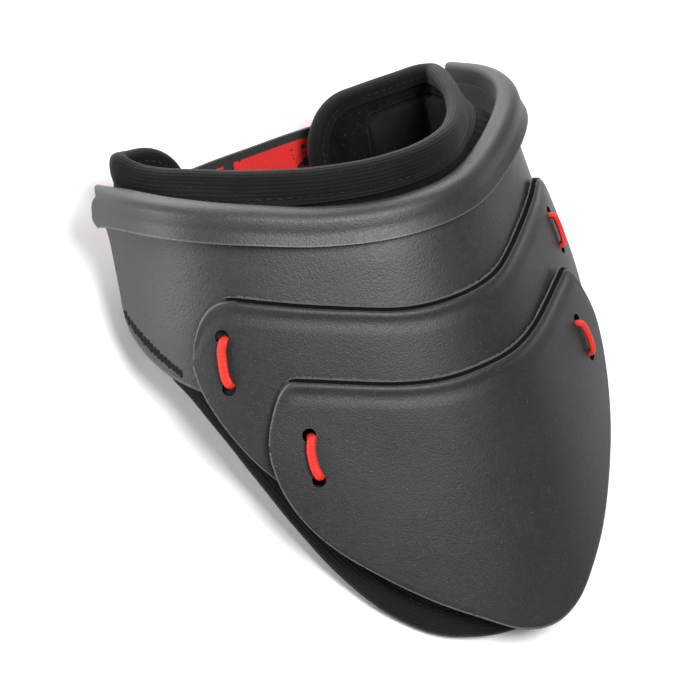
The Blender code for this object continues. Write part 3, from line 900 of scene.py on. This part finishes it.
def strap_finish(red, edge, width):
    """Woven elastic with dark borders and a broken, brushed pattern in the same dark yarn."""
    paint = Paint("strap_webbing")
    along, across = paint.pair()
    border = 1.0 - across.least(width - across).between(0.0030, 0.0034)
    blots = paint.noise(paint.combine(along * 70.0, across * 170.0, 0.3), 1.0, 3.0, 0.6)
    streaks = paint.noise(paint.combine(along * 500.0, across * 120.0, 1.7), 1.0, 2.0, 0.6)
    brushed = (blots + streaks * 0.3 - 0.70).between(0.0, 0.015)
    weave = ripple(along, 0.0011) * 0.5 + ripple(across, 0.0008) * 0.3
    cloth = paint.mix(border.most(brushed), red, edge)
    cloth = paint.mix((weave * 0.5 + 0.5) * 0.22, cloth, shade(edge, 0.6))
    return paint.finish(cloth, 0.7, paint.bump(weave, 0.00018, 0.6), fuzz=(0.15, 0.5))


def floor_finish(base):
    return Paint("studio_floor").finish(base, 0.9, gloss=0.1)


# Pieces

def nearest_row(share, count):
    """Row numbers of a closed form, whose last row is its first one again."""
    return np.rint(share * count).astype(int) % count


def section_values(rows, k, *columns):
    """Columns of a section's rows, for each of these row numbers."""
    return [np.array([row[column] for row in rows])[k] for column in columns]


def both_sides(u, table):
    """The side of the front that a place is on, and its row number in a table of one side."""
    return np.where(u < 0.5, -1.0, 1.0), np.abs(2.0 * u - 1.0) * (len(table) - 1)


def moulded(name, steps, rows, form, edges):
    """A closed section's rows bent over form(u, k) of the neck's frame.

    Returns the piece, u, v and the row number of each vertex, and its distance from each of
    these rows of edges.
    """
    piece, u, v = grid_of(name, steps, len(rows))
    k = nearest_row(v, len(rows))
    points = form(u, k)
    set_points(piece, laid(points))
    along = np.linspace(0.0, 1.0, steps + 1)
    away = [nearest_distance(points, form(along, [row] * len(along))) for row in edges]
    return piece, u, v, k, away


def collar_section():
    """The collar's closed section, each row with what it is.

    Rows of the roll give how far out from the rim they are, their height above it and how far
    round they reach past the end; rows of the wall give their share of its height and how far out
    from its outer face they are. The last number says how far a row is a raw cut.
    """
    def roll(table, count):
        t = np.linspace(0.0, len(table) - 1.0, count)
        return [("roll", *row, 0.0) for row in zip(*between_rows(table, t, range(3)))]

    def wall(*rows):
        return [("wall", share, out, 0.0, cut) for share, out, cut in rows]

    back = -mm("wall")
    heel = [[a + (b - a) * share for a, b in zip(ROLL_FACE[-1], ROLL_BACK[0])] for share in HEEL]
    return (roll(ROLL_FACE, LIP_ROWS)
            + [("roll", out, up - 0.12, past, 1.0) for out, up, past in heel]
            + roll(ROLL_BACK, UNDER_ROWS)
            + wall(*((share, 0.0, 0.0) for share in np.linspace(0.03, 0.985, WALL_ROWS)))
            + wall((0.996, -0.12, 0.0), (1.0, -0.5, 1.0), (1.0, back + 0.4, 1.0),
                   (0.995, back, 0.0))
            + wall(*((share, back, 0.0) for share in np.linspace(0.96, 0.03, INNER_ROWS))))


class GORGET_OT_shell(bpy.types.Operator):
    """Moulded collar with its rolled lip, and the heavy stitching at its rear corners"""
    bl_idname = "gorget.shell"
    bl_label = "Collar shell"

    def execute(self, context):
        rows = collar_section()
        shell, u, v, k, away = moulded("collar", COLLAR_STEPS, rows, self.form,
                                       (FLAP_ROW, FOOT_ROW))
        kind, out, off_wall, cut = section_values(rows, k, 0, 1, 2, 4)
        # Painted shade: the inner faces of the wall and of the roll, behind the liner, are painted
        # dark through the edges map.
        hidden = np.where(kind == "wall", off_wall < -2.0, out < 0.2)
        set_map(shell, "UVMap", u * 0.28, v * 0.2)
        set_map(shell, "marks", cut, 0.6)
        set_map(shell, "edges", np.minimum(*away) / 1000, -1.0 * hidden)
        edit_all(shell, join_doubles)
        close_ends(shell, (1.0, 1.0))
        smooth_shade(shell, 38.0)
        finish = leather_finish("collar_grain", tint("collar"), grain=1250.0, specks=0.15,
                                gloss=0.6)
        give(shell, finish, "collar_shell")
        self.stitch_corners(thread_finish("corner_thread", shade(tint("thread"), 0.25)))
        return {"FINISHED"}

    def form(self, u, k):
        """Points of the collar for a place round it and a row of its section."""
        side, t = both_sides(u, SHELL)
        lip_angle, foot_angle = between_rows(SHELL, t, (0, 1))
        foot, = between_rows(SHELL, t, (2,), True)
        kind, first, second, past = section_values(collar_section(), k, 0, 1, 2, 3)
        top = rim_height(lip_angle)
        rim = RIM_RADIUS + lobe(lip_angle) + spread(side * lip_angle, top)
        near_end = np.maximum(lip_angle - LIP_END, 0.0) / (SHELL_SWEEP - LIP_END)
        roll = polar(side * (lip_angle + past * near_end ** 2), rim + first, top + second)
        start = top + ROLL_BACK[-1][1]
        z = start + (foot - start) * first
        bow = END_BOW * (lip_angle / SHELL_SWEEP) ** 3 * 4.0 * first * (1.0 - first)
        angle = lip_angle + (foot_angle - lip_angle) * first + bow
        wall = wall_point(side * angle, z, second)
        points = np.where((kind == "wall")[:, None], wall, roll)
        return points + polar(side * lip_angle, 0.22 * unevenness(points, 17.0), 0.0)

    def stitch_corners(self, thread):
        """Overlapping stitches along each rear corner, a little in from the edge."""
        number = np.arange(CORNER_STITCHES)
        share = np.linspace(0.0, 1.0, CORNER_STITCHES)
        angle = 77.0 - 15.6 * share ** 0.93
        z = -31.0 - 17.0 * share ** 0.87
        slant = zigzag(CORNER_STITCHES)
        sway = 0.3 * np.sin(number * 2.1) * np.sin(number * 0.83)
        for side, word in SIDES:
            points = wall_point(side * angle, z, 0.0)
            along = np.gradient(points, axis=0)
            out = polar(side * angle, 1.0, 0.3)
            across = np.cross(out, along)
            points = points + across * (slant * 0.35 + sway[:, None])
            heading = along + across * slant * 0.7
            give(sew(f"corner_stitches_{word}", points, heading, out, *CORNER_STITCH), thread)


def sew(name, places, directions, normals, length_mm, width_mm, sink=0.3):
    """A row of stitches at these points of the neck's frame, each a copy of one small form."""
    deselect_all()
    bpy.ops.mesh.primitive_uv_sphere_add(segments=8, ring_count=6, radius=0.5)
    row = bpy.context.object
    row.name = name
    form = get_points(row)
    faces = [tuple(face.vertices) for face in row.data.polygons]
    points, polygons = [], []
    for k, (place, along, out) in enumerate(zip(places, unit(directions), normals)):
        across = unit(np.cross(out, along))
        out = np.cross(along, across)
        arch = (0.25 - form[:, :1] ** 2) * width_mm * 0.9
        points.append(place + form[:, :1] * length_mm * along + form[:, 1:2] * width_mm * across
                      + (form[:, 2:] * width_mm * 0.8 + arch - sink * width_mm) * out)
        polygons += [tuple(i + k * len(form) for i in face) for face in faces]
    row.data = bpy.data.meshes.new(name)
    row.data.from_pydata(laid(np.concatenate(points)).tolist(), [], polygons)
    row.data.update()
    edit_all(row, turn_out)
    smooth_shade(row, 60.0)
    return row


def lame_point(name, angle, z, offset):
    """Point of a lame, measured from its outer face."""
    face = (GAP + mm("lame")) * (1 if name == "upper" else 2)
    start, growth, right, left = STAND[name]
    off = np.where(angle < 0.0, right, left)
    off = off * (np.maximum(np.abs(angle) - start, 0.0) / growth) ** 2
    off = off * ease((z - STAND_FOOT) / STAND_RISE)
    return wall_point(angle, z, face + off + offset)


def hole_axis(name, row, side):
    """Centre of a lace hole on its lame's outer face and the way out of it, as laid."""
    angle, z = HOLES[name, side][row]
    angles = side * angle + np.array((0.0, 1.0, -1.0, 0.0, 0.0))
    heights = z + np.array((0.0, 0.0, 0.0, 1.0, -1.0))
    points = laid(lame_point(name, angles, heights, 0.0))
    return points[0], unit(np.cross(points[1] - points[2], points[3] - points[4]))


class GORGET_OT_lames(bpy.types.Operator):
    """The two throat lames, beaded along the top and punched for their laces"""
    bl_idname = "gorget.lames"
    bl_label = "Throat lames"

    def execute(self, context):
        finish = leather_finish("lame_grain", tint("lames"), grain=1800.0, specks=0.5, gloss=0.5)
        # The near-black cut top edges: raw cut with painted shadow.
        raw = raw_finish("lame_cut")
        for name, holes in (("upper", ("upper", "lower")), ("lower", ("lower",))):
            plate = self.plate(name)
            self.punch(plate, holes)
            smooth_shade(plate, 38.0)
            give(plate, finish, name + "_lame", raw)
            give(self.burr(name), finish)
        return {"FINISHED"}

    def section(self):
        """Rows of the closed section: distance below the top edge, or share of the height below
        the bead, then the height of the face and how far the row is a raw cut."""
        back = -mm("lame")
        bead = np.linspace(0.0, 8.5, BEAD_ROWS)
        rows = [("rim", d, face, 0.0) for d, face in zip(bead, Line(LAME_RIM, 1, False)(bead))]
        rows += [("rest", share, 0.0, 0.0) for share in np.linspace(0.03, 0.985, FACE_ROWS)]
        rows += [("rest", 0.996, -0.15, 0.0), ("rest", 1.0, -0.45, 1.0),
                 ("rest", 1.0, back + 0.35, 1.0), ("rest", 0.996, back, 0.0)]
        rows += [("rest", share, back, 0.0) for share in np.linspace(0.96, 0.04, BACK_ROWS)]
        rows += [("rim", d, back, 0.0) for d in (7.0, 4.5, 2.5, 1.0, 0.2)]
        rows += [("rim", d, face, 1.0)
                 for d, face in ((-0.9, back + 0.15), (-0.6, -1.7), (-0.2, -1.1))]
        return rows

    def form(self, name, u, k):
        """Points of a lame for a place along it and a row of its section."""
        table = LAMES[name]
        side, t = both_sides(u, table)
        top_angle, foot_angle = between_rows(table, t, (0, 2))
        top, foot = between_rows(table, t, (1, 3), True)
        height = top - foot
        zone = np.minimum(BEAD_ZONE, height * 0.45)
        kind, first, face = section_values(self.section(), k, 0, 1, 2)
        in_rim = kind == "rim"
        below = np.where(in_rim, first / BEAD_ZONE * zone, zone + first * (height - zone))
        softer = face * (0.35 + 0.65 * self.topness(name, u))
        face = np.where(in_rim & (face > -2.0), softer, face)
        angle = side * (top_angle + (foot_angle - top_angle) * (below / height))
        points = lame_point(name, angle, top - below, face)
        return points + polar(angle, 0.16 * unevenness(points, 20.0, 1.0), 0.0)

    def topness(self, name, u):
        """1 along a lame's top edge, 0 round its ends."""
        return 1.0 - ease((both_sides(u, LAMES[name])[1] - 4.5) / 1.2)

    def plate(self, name):
        rows = self.section()
        plate, u, v, k, (to_top, to_foot) = moulded(
            name + "_throat_lame", LAME_STEPS, rows, partial(self.form, name), (0, LAME_FOOT_ROW))
        cut, = section_values(rows, k, 3)
        at_top = np.where(to_top < to_foot, self.topness(name, u), 0.0)
        set_map(plate, "UVMap", u * 0.18, v * 0.2)
        set_map(plate, "marks", cut, at_top)
        set_map(plate, "edges", np.minimum(to_top, to_foot) / 1000, 0.0)
        edit_all(plate, join_doubles)
        close_ends(plate, (1.0, 0.0))
        return plate

    def burr(self, name):
        """The thin ragged crest that the knife left along the back of the top edge, painted light
        as a highlight.
        """
        back = len(self.section()) - 3
        along = np.linspace(0.03, 0.97, BURR_STEPS + 1)
        rough = np.random.default_rng(7).random(len(along))
        rough = np.convolve(rough, np.ones(4) / 4.0, "same") * self.topness(name, along)

        def form(u, v):
            i = np.rint(u * BURR_STEPS).astype(int)
            base = self.form(name, along[i], [back] * len(u))
            return base + polar(0.0, 0.0, 1.0) * (v * (0.1 + 1.3 * rough[i]) - 0.1)[:, None]

        crest = sheet_of(name + "_burr", BURR_STEPS, 2, form, 0.18, 0.001)
        modify(crest, "SOLIDIFY", thickness=0.0003, offset=1.0)
        set_map(crest, "marks", 0.0, 0.0)
        # Painted highlight: the crest is painted light through the edges map.
        set_map(crest, "edges", 0.001, 0.8)
        edit_all(crest, turn_out)
        smooth_shade(crest, 60.0)
        return crest

    def punch(self, plate, names):
        """Cuts the lace holes straight through."""
        for name, side, row in product(names, (-1, 1), (0, 1)):
            centre, out = hole_axis(name, row, side)
            deselect_all()
            bpy.ops.mesh.primitive_cylinder_add(
                vertices=40, radius=mm("hole") / 2000, depth=PUNCH_DEPTH, location=centre,
                rotation=Vector(out).to_track_quat("Z", "Y").to_euler())
            cutter = bpy.context.object
            # The hole walls take the near-black top-cut finish: painted shadow inside the holes.
            set_map(cutter, "marks", 1.0, 1.0)
            set_map(cutter, "edges", 0.01, 0.0)
            modify(plate, "BOOLEAN", operation="DIFFERENCE", solver="EXACT", object=cutter)
            bpy.data.objects.remove(cutter, do_unlink=True)


def pad_depths(inset):
    """Depth of the liner's outer and inner faces this far in from its edge."""
    outer = SEAM_OUTSET * (1.0 - ease((inset - 9.0) / 11.0))
    seam = SEAM_OUTSET + SEAM_CORE
    return outer, seam + (PAD - SEAM_OUTSET - SEAM_CORE) * ease((inset - 5.0) / 12.0)


def panel_edge(place, z):
    """Distance inside the seam that sets off the neck panel from the puffed ring round it."""
    sides = (to_tip(place) - 24.0, liner_top(place) - z - 10.0, z - liner_foot(place) - 12.0)
    return -2.5 * np.log(sum(np.exp(-np.clip(s, -60.0, 60.0) / 2.5) for s in sides))


def liner_folds(place, z):
    """How far the inner face sinks in: gathers at the rear folds, a fan on the ends, the seam."""
    past, left, inside = past_front(place), to_tip(place), panel_edge(place, z)
    gathered = hump(past, 6.0, 9.0) * np.sin(z * 1.1 + np.sin(past * 0.3) * 2.0) * 0.4
    fan_zone = ease((past - 12.0) / 6.0) * ease((-inside) / 3.0)
    fan = fan_zone * np.sin(left * 0.75 + (z + 10.0) * 0.42 + np.sin(z * 0.23)) * 0.5
    puffs = 0.3 * np.sin(place * 0.16) * np.sin(z * 0.11 + 1.0)
    seam = 1.6 * hump(inside, 0.0, 1.0)
    ring = -0.9 * hump(inside, -5.5, 3.5) * ease((left - 6.0) / 4.0)
    panel = 0.5 * ease((inside - 1.0) / 5.0)
    return gathered + fan + puffs + seam + ring + panel


def ends_fullness(place, z):
    """How far the outer face bulges towards the collar at the two ends of its rim."""
    angle = neck_angle(place)
    share = (ease((angle - 38.0) / 20.0) * ease((from_edge(place, z) - 8.5) / 4.5)
             * (1.0 - ease(past_front(place) / 8.0)) * ease((z + 26.0) / 14.0))
    face = liner_point(place, z, 0.0)
    inside = wall_radius(np.sign(place) * angle, z) - mm("wall")
    room = inside - np.hypot(face[:, 0], face[:, 1]) - COLLAR_CLEARANCE
    swell = FULLNESS * share * (1.0 + 0.2 * np.sin(place * 0.9 + z * 0.5))
    return np.minimum(swell, np.maximum(room, 0.0))


class GORGET_OT_liner(bpy.types.Operator):
    """Padded liner: the neck band, the bib and the two ends that fold in behind"""
    bl_idname = "gorget.liner"
    bl_label = "Padded liner"

    def execute(self, context):
        pad = self.closed_pad()
        self.puff(pad, context.scene)
        modify(pad, "SUBSURF", levels=1, render_levels=1)
        self.press_folds(pad)
        close_ends(pad)
        smooth_shade(pad, 60.0)
        give(pad, fabric_finish("liner_fabric", tint("padding"), tint("panel")), "liner")
        give(self.sew_panel(), thread_finish("panel_thread", tint("thread")))
        return {"FINISHED"}

    def lowest(self):
        """How high the pad lies on its binding, in millimetres."""
        return mm("tape") + TAPE_GAP

    def closed_pad(self):
        """The outer face from the top down, and back up the inner face, closer rows at the top."""
        pad, u, v = grid_of("padded_liner", *PAD_STEPS)
        left, right = tip_place(1.0) - 0.02, -tip_place(-1.0) + 0.02
        place = right + (left - right) * u
        v = np.where(v > 0.999, 0.0, v)
        share = (1.0 - np.abs(1.0 - 2.0 * v)) ** 1.6
        top, foot = liner_top(place), liner_foot(place)
        z = top + (foot - top) * share
        outer, inner = pad_depths(from_edge(place, z))
        on_back = v > 0.5
        depth = np.where(on_back, inner, outer - ends_fullness(place, z))
        set_points(pad, laid(pressed(liner_point(place, z, depth), self.lowest())))
        set_map(pad, "UVMap", place / 1000, z / 1000)
        set_map(pad, "marks", on_back, on_back)
        edit_all(pad, join_doubles, turn_out)
        return pad

    def puff(self, pad, scene):
        """Blows the padding up a little, held where the binding grips it, then limits that."""
        place, z = get_map(pad, "UVMap") * 1000
        on_back = get_map(pad, "marks")[0] > 0.5
        start = get_points(pad)
        held = pad.vertex_groups.new(name="held")
        for index in np.flatnonzero(from_edge(place, z) < np.where(on_back, *GRIP)):
            held.add([int(index)], 1.0, "REPLACE")
        make_active(pad)
        modifier = pad.modifiers.new("puffing", "CLOTH")
        cloth = modifier.settings
        cloth.vertex_group_mass = held.name
        cloth.use_pressure = True
        cloth.uniform_pressure_force = PRESSURE
        cloth.shrink_min = -0.03
        cloth.effector_weights.gravity = 0.0
        modifier.collision_settings.use_collision = False
        modifier.collision_settings.use_self_collision = False
        modifier.point_cache.frame_start, modifier.point_cache.frame_end = 1, PUFF_FRAMES
        for step in range(1, PUFF_FRAMES + 1):
            scene.frame_set(step)
        bpy.ops.object.modifier_apply(modifier=modifier.name)
        scene.frame_set(1)
        moved = get_points(pad) - start
        size = np.linalg.norm(moved, axis=1) * 1000
        most = np.where(on_back, *MOST_PUFF)
        points = start + moved * (np.minimum(size, most) / np.maximum(size, 0.001))[:, None]
        low = np.minimum(start[:, 2], self.lowest() / 1000)
        points[:, 2] = np.maximum(points[:, 2], low)
        set_points(pad, points)
        pad.vertex_groups.clear()

    def press_folds(self, pad):
        """Seam, gathers and folds of the inner face, and the panel's mark."""
        place, z = get_map(pad, "UVMap") * 1000
        back = get_map(pad, "marks")[0]
        on_back = ease((back - 0.6) / 0.3)
        out = laid(liner_out(place, z)) - laid(np.zeros(3))
        sink = liner_folds(place, z) * on_back * ease((from_edge(place, z) - 5.5) / 4.0)
        start = get_points(pad)
        resting = start[:, 2:] < self.lowest() / 1000 + 0.0012
        set_points(pad, np.where(resting, start, start - out * sink[:, None]))
        set_map(pad, "marks", ease(panel_edge(place, z) / 1.2) * on_back, back)

    def sew_panel(self):
        """A zigzag of stitches along the panel's seam."""
        rows = []
        for side, height in product((-1.0, 1.0), np.arange(2.0, -27.0, -1.15)):
            places = side * np.linspace(tip_place(side) - 4.0, tip_place(side) - 34.0, 200)
            inside = panel_edge(places, height)
            if inside.max() > 0.0 > inside.min():
                rows.append((np.interp(0.0, inside, places), height))
        place, z = np.array(rows).T
        out = liner_out(place, z)
        points = liner_point(place, z, PAD - 1.6) + out * 0.25
        along = liner_point(place, z + 1.0, PAD) - liner_point(place, z, PAD)
        heading = along + np.cross(out, along) * zigzag(len(place)) * 0.9
        return sew("panel_stitches", points, heading, out, mm("stitch") * 0.8, 0.5)


def tape_path():
    """Middle of the binding's thickness as (distance in from the edge, depth)."""
    tape, leg, inner_leg = mm("tape"), mm("tape_leg"), mm("inner_leg")
    outer = SEAM_OUTSET - TAPE_GAP - tape / 2
    inner = SEAM_OUTSET + SEAM_CORE + TAPE_GAP + tape / 2
    middle, half = (outer + inner) / 2, (inner - outer) / 2
    turn = np.linspace(-math.pi / 2, math.pi / 2, 15)
    down = np.linspace(leg, 1.6, 13)
    back = np.linspace(1.6, inner_leg, 8)
    inward = np.concatenate((down, 0.9 - 2.1 * np.cos(turn), back))
    swell = 0.4 * np.sin(np.clip((leg - 2.0 - down) / (leg - 2.0), 0.0, 1.0) * math.pi)
    stitched = 0.25 * hump(down, leg - 2.0, 0.9)
    depth = np.concatenate((outer - swell + stitched, middle + half * np.sin(turn),
                            inner - 0.3 * hump(back, inner_leg - 1.6, 0.9)))
    return inward, depth


class GORGET_OT_binding(bpy.types.Operator):
    """Ribbed tape folded over the liner's whole edge, with its row of stitches on both sides"""
    bl_idname = "gorget.binding"
    bl_label = "Binding"

    def execute(self, context):
        sizes = context.scene.gorget_sizes
        count, rows = TAPE_STEPS
        place, z, run, whole = liner_edge(count)
        step = edge_frame(place, z)
        inward, depth = tape_path()
        shares = np.linspace(0.0, 1.0, len(inward))

        def form(u, v):
            k = nearest_row(u, count)
            i = np.interp(v, shares, inward)
            sway = 0.18 * np.sin(run[k] * 0.21) * np.sin(run[k] * 0.083)
            d = np.interp(v, shares, depth) + sway
            points = liner_point(place[k] + step[k, 0] * i, z[k] + step[k, 1] * i, d)
            return pressed(points, mm("tape") / 2)

        across = sizes.tape_leg + sizes.inner_leg + 0.006
        tape = sheet_of("edge_binding", count, rows, form, whole / 1000, across)
        k = nearest_row(get_map(tape, "UVMap")[0] / (whole / 1000), count)
        # The liner's ends: calmer ribs and painted shade on the tape there.
        on_ends = ease((past_front(place[k]) + 6.0) / 10.0)
        set_map(tape, "marks", on_ends, on_ends)
        edit_all(tape, join_doubles, turn_out)
        modify(tape, "SOLIDIFY", thickness=sizes.tape, offset=0.0, use_even_offset=False)
        edit_all(tape, turn_out)
        smooth_shade(tape, 50.0)
        give(tape, ribbed_tape_finish(tint("binding")), "liner_binding")
        self.sew_edges(whole, thread_finish("binding_thread", tint("thread")))
        return {"FINISHED"}

    def sew_edges(self, whole, thread):
        """A slightly slanting row a little in from each of the tape's free edges."""
        count = int(whole / (mm("stitch") + 0.8))
        place, z, _, _ = liner_edge(count)
        step = edge_frame(place, z)
        cover = TAPE_GAP + mm("tape") - 0.2
        for name, leg, depth, sign in (
                ("outer", mm("tape_leg"), SEAM_OUTSET - cover, -1.0),
                ("inner", mm("inner_leg"), SEAM_OUTSET + SEAM_CORE + cover, 1.0)):
            at, up = (a + b * (leg - 2.6) for a, b in zip((place, z), step.T))
            face = liner_point(at, up, depth)
            points = pressed(face, 0.2)
            out = liner_point(at, up, depth + sign) - face
            along = unit(np.roll(points, -1, 0) - np.roll(points, 1, 0))
            heading = along + np.cross(out, along) * zigzag(count) * 0.2
            row = sew(f"binding_stitches_{name}", points, heading, out, mm("stitch"), 0.6, 0.2)
            give(row, thread)


class GORGET_OT_strap(bpy.types.Operator):
    """Flat elastic strap across the open back"""
    bl_idname = "gorget.strap"
    bl_label = "Rear strap"

    def execute(self, context):
        sizes = context.scene.gorget_sizes
        reach = STRAP[-1][0]
        back = Line(STRAP, 1)

        def form(u, v):
            x = (2.0 * u - 1.0) * reach
            sway = 0.15 * np.sin(x * 0.21) * np.cos(v * math.pi)
            return np.stack((x, back(np.abs(x)) + sway, -v * mm("strap_width")), -1)

        strap = sheet_of("elastic_strap", *STRAP_STEPS, form, 2.0 * reach / 1000,
                         sizes.strap_width)
        modify(strap, "SOLIDIFY", thickness=sizes.strap_thickness, offset=0.0)
        modify(strap, "BEVEL", width=0.0004, segments=2, limit_method="ANGLE",
               angle_limit=math.radians(50.0))
        edit_all(strap, turn_out)
        smooth_shade(strap, 50.0)
        finish = strap_finish(tint("strap"), tint("strap_edge"), sizes.strap_width)
        give(strap, finish, "rear_strap")
        return {"FINISHED"}


class GORGET_OT_laces(bpy.types.Operator):
    """The four cord stitches that hold the lames"""
    bl_idname = "gorget.laces"
    bl_label = "Laces"

    def execute(self, context):
        finish = cord_finish(tint("cord"))
        for (side, word), name in product(SIDES, ("upper", "lower")):
            cord = self.cord(name, side, f"{name}_{word}_lace")
            give(cord, finish, f"lace_{name}_{word}")
        return {"FINISHED"}

    def cord(self, name, side, label):
        start, out = hole_axis(name, 0, side)
        end, _ = hole_axis(name, 1, side)
        along = unit(end - start)
        forward = np.cross(along, out) * side
        span = np.linalg.norm(end - start) * 1000
        route = [*LACE_ROUTE, *((span - a, o, f) for a, o, f in reversed(LACE_ROUTE))]
        steps, around = LACE_STEPS
        rows = np.linspace(0.0, len(route) - 1.0, steps + 1)
        a, o, f = (column[:, None] for column in between_rows(route, rows, range(3)))
        path = start + (a * along + o * out + f * forward) / 1000
        ahead = unit(np.gradient(path, axis=0))
        flat = unit(np.cross(ahead, forward))
        wide = np.cross(ahead, flat)
        cord, u, v = grid_of(label, steps, around)
        k = np.rint(u * steps).astype(int)
        turn = (2.0 * math.pi * v)[:, None]
        ring = (np.cos(turn) * mm("lace_thickness") * flat[k]
                + np.sin(turn) * mm("lace_width") * wide[k])
        set_points(cord, path[k] + ring / 2000)
        set_map(cord, "UVMap", u * LACE_LENGTH, v)
        edit_all(cord, join_doubles)
        close_ends(cord)
        smooth_shade(cord, 60.0)
        return cord


class GORGET_OT_studio(bpy.types.Operator):
    """Pale floor, soft lights and the camera"""
    bl_idname = "gorget.studio"
    bl_label = "Studio"

    def execute(self, context):
        deselect_all()
        bpy.ops.mesh.primitive_plane_add(size=12.0, location=(0.0, 0.0, REST_LEVEL - 0.0002))
        floor = bpy.context.object
        floor.name = "studio_floor"
        floor.data.materials.append(floor_finish(tint("floor")))
        lean = Matrix.Rotation(-math.radians(LEAN_BACK), 4, "X")
        rest = Matrix.Translation((0.0, REST_BACK / 1000, REST_UP / 1000)) @ lean
        self.camera(context, rest)
        self.lights(context, rest)
        return {"FINISHED"}

    def camera(self, context, rest):
        """Looks at the gorget from its front right, above the rim and slightly rolled."""
        azimuth, height, roll = (math.radians(angle) for angle in CAMERA_ANGLES)
        turn = (Matrix.Rotation(azimuth, 4, "Z") @ Matrix.Rotation(math.pi / 2 - height, 4, "X")
                @ Matrix.Rotation(-roll, 4, "Z"))
        data = bpy.data.cameras.new("studio_camera")
        data.lens, data.sensor_width = LENS, 36.0
        data.clip_start = 0.05
        camera = bpy.data.objects.new("studio_camera", data)
        context.collection.objects.link(camera)
        camera.matrix_world = rest @ turn @ Matrix.Translation(CAMERA_PLACE)
        context.scene.camera = camera

    def lights(self, context, rest):
        """Soft lights overhead, at both sides and in front, in an even bright room."""
        world = bpy.data.worlds.new("studio_world")
        world.use_nodes = True
        colour_socket, strength = world.node_tree.nodes["Background"].inputs[:2]
        colour_socket.default_value = (1.0, 1.0, 1.0, 1.0)
        strength.default_value = ROOM_LIGHT
        context.scene.world = world
        context.scene.view_settings.view_transform = "Standard"
        aim = rest @ Vector((0.0, -0.04, -0.06))
        for name, place, size, power in LIGHTS:
            data = bpy.data.lights.new(name, "AREA")
            data.shape = "DISK"
            data.size = size
            data.energy = power
            light = bpy.data.objects.new(name, data)
            context.collection.objects.link(light)
            light.location = rest @ Vector(place)
            light.rotation_euler = (aim - light.location).to_track_quat("-Z", "Y").to_euler()


class GORGET_PT_panel(bpy.types.Panel):
    """Builds the gorget's pieces and holds its sizes and colours"""
    bl_label = "Gorget"
    bl_idname = "GORGET_PT_panel"
    bl_space_type = "VIEW_3D"
    bl_region_type = "UI"
    bl_category = "Gorget"

    def draw(self, context):
        layout = self.layout
        for group in (context.scene.gorget_sizes, context.scene.gorget_colours):
            box = layout.box()
            for key in group.__annotations__:
                box.prop(group, key)
        for operator in OPERATORS:
            layout.operator(operator.bl_idname)


OPERATORS = (GORGET_OT_shell, GORGET_OT_lames, GORGET_OT_liner, GORGET_OT_binding, GORGET_OT_strap,
             GORGET_OT_laces, GORGET_OT_studio)
CLASSES = (GorgetSizes, GorgetColours, *OPERATORS, GORGET_PT_panel)


def register():
    for cls in CLASSES:
        bpy.utils.register_class(cls)
    bpy.types.Scene.gorget_sizes = bpy.props.PointerProperty(type=GorgetSizes)
    bpy.types.Scene.gorget_colours = bpy.props.PointerProperty(type=GorgetColours)


def unregister():
    del bpy.types.Scene.gorget_colours
    del bpy.types.Scene.gorget_sizes
    for cls in reversed(CLASSES):
        bpy.utils.unregister_class(cls)


def main():
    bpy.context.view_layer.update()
    register()
    bpy.ops.gorget.shell()
    bpy.ops.gorget.lames()
    bpy.ops.gorget.liner()
    bpy.ops.gorget.binding()
    bpy.ops.gorget.strap()
    bpy.ops.gorget.laces()
    bpy.ops.gorget.studio()
    bpy.context.view_layer.update()


if __name__ == "__main__":
    main()
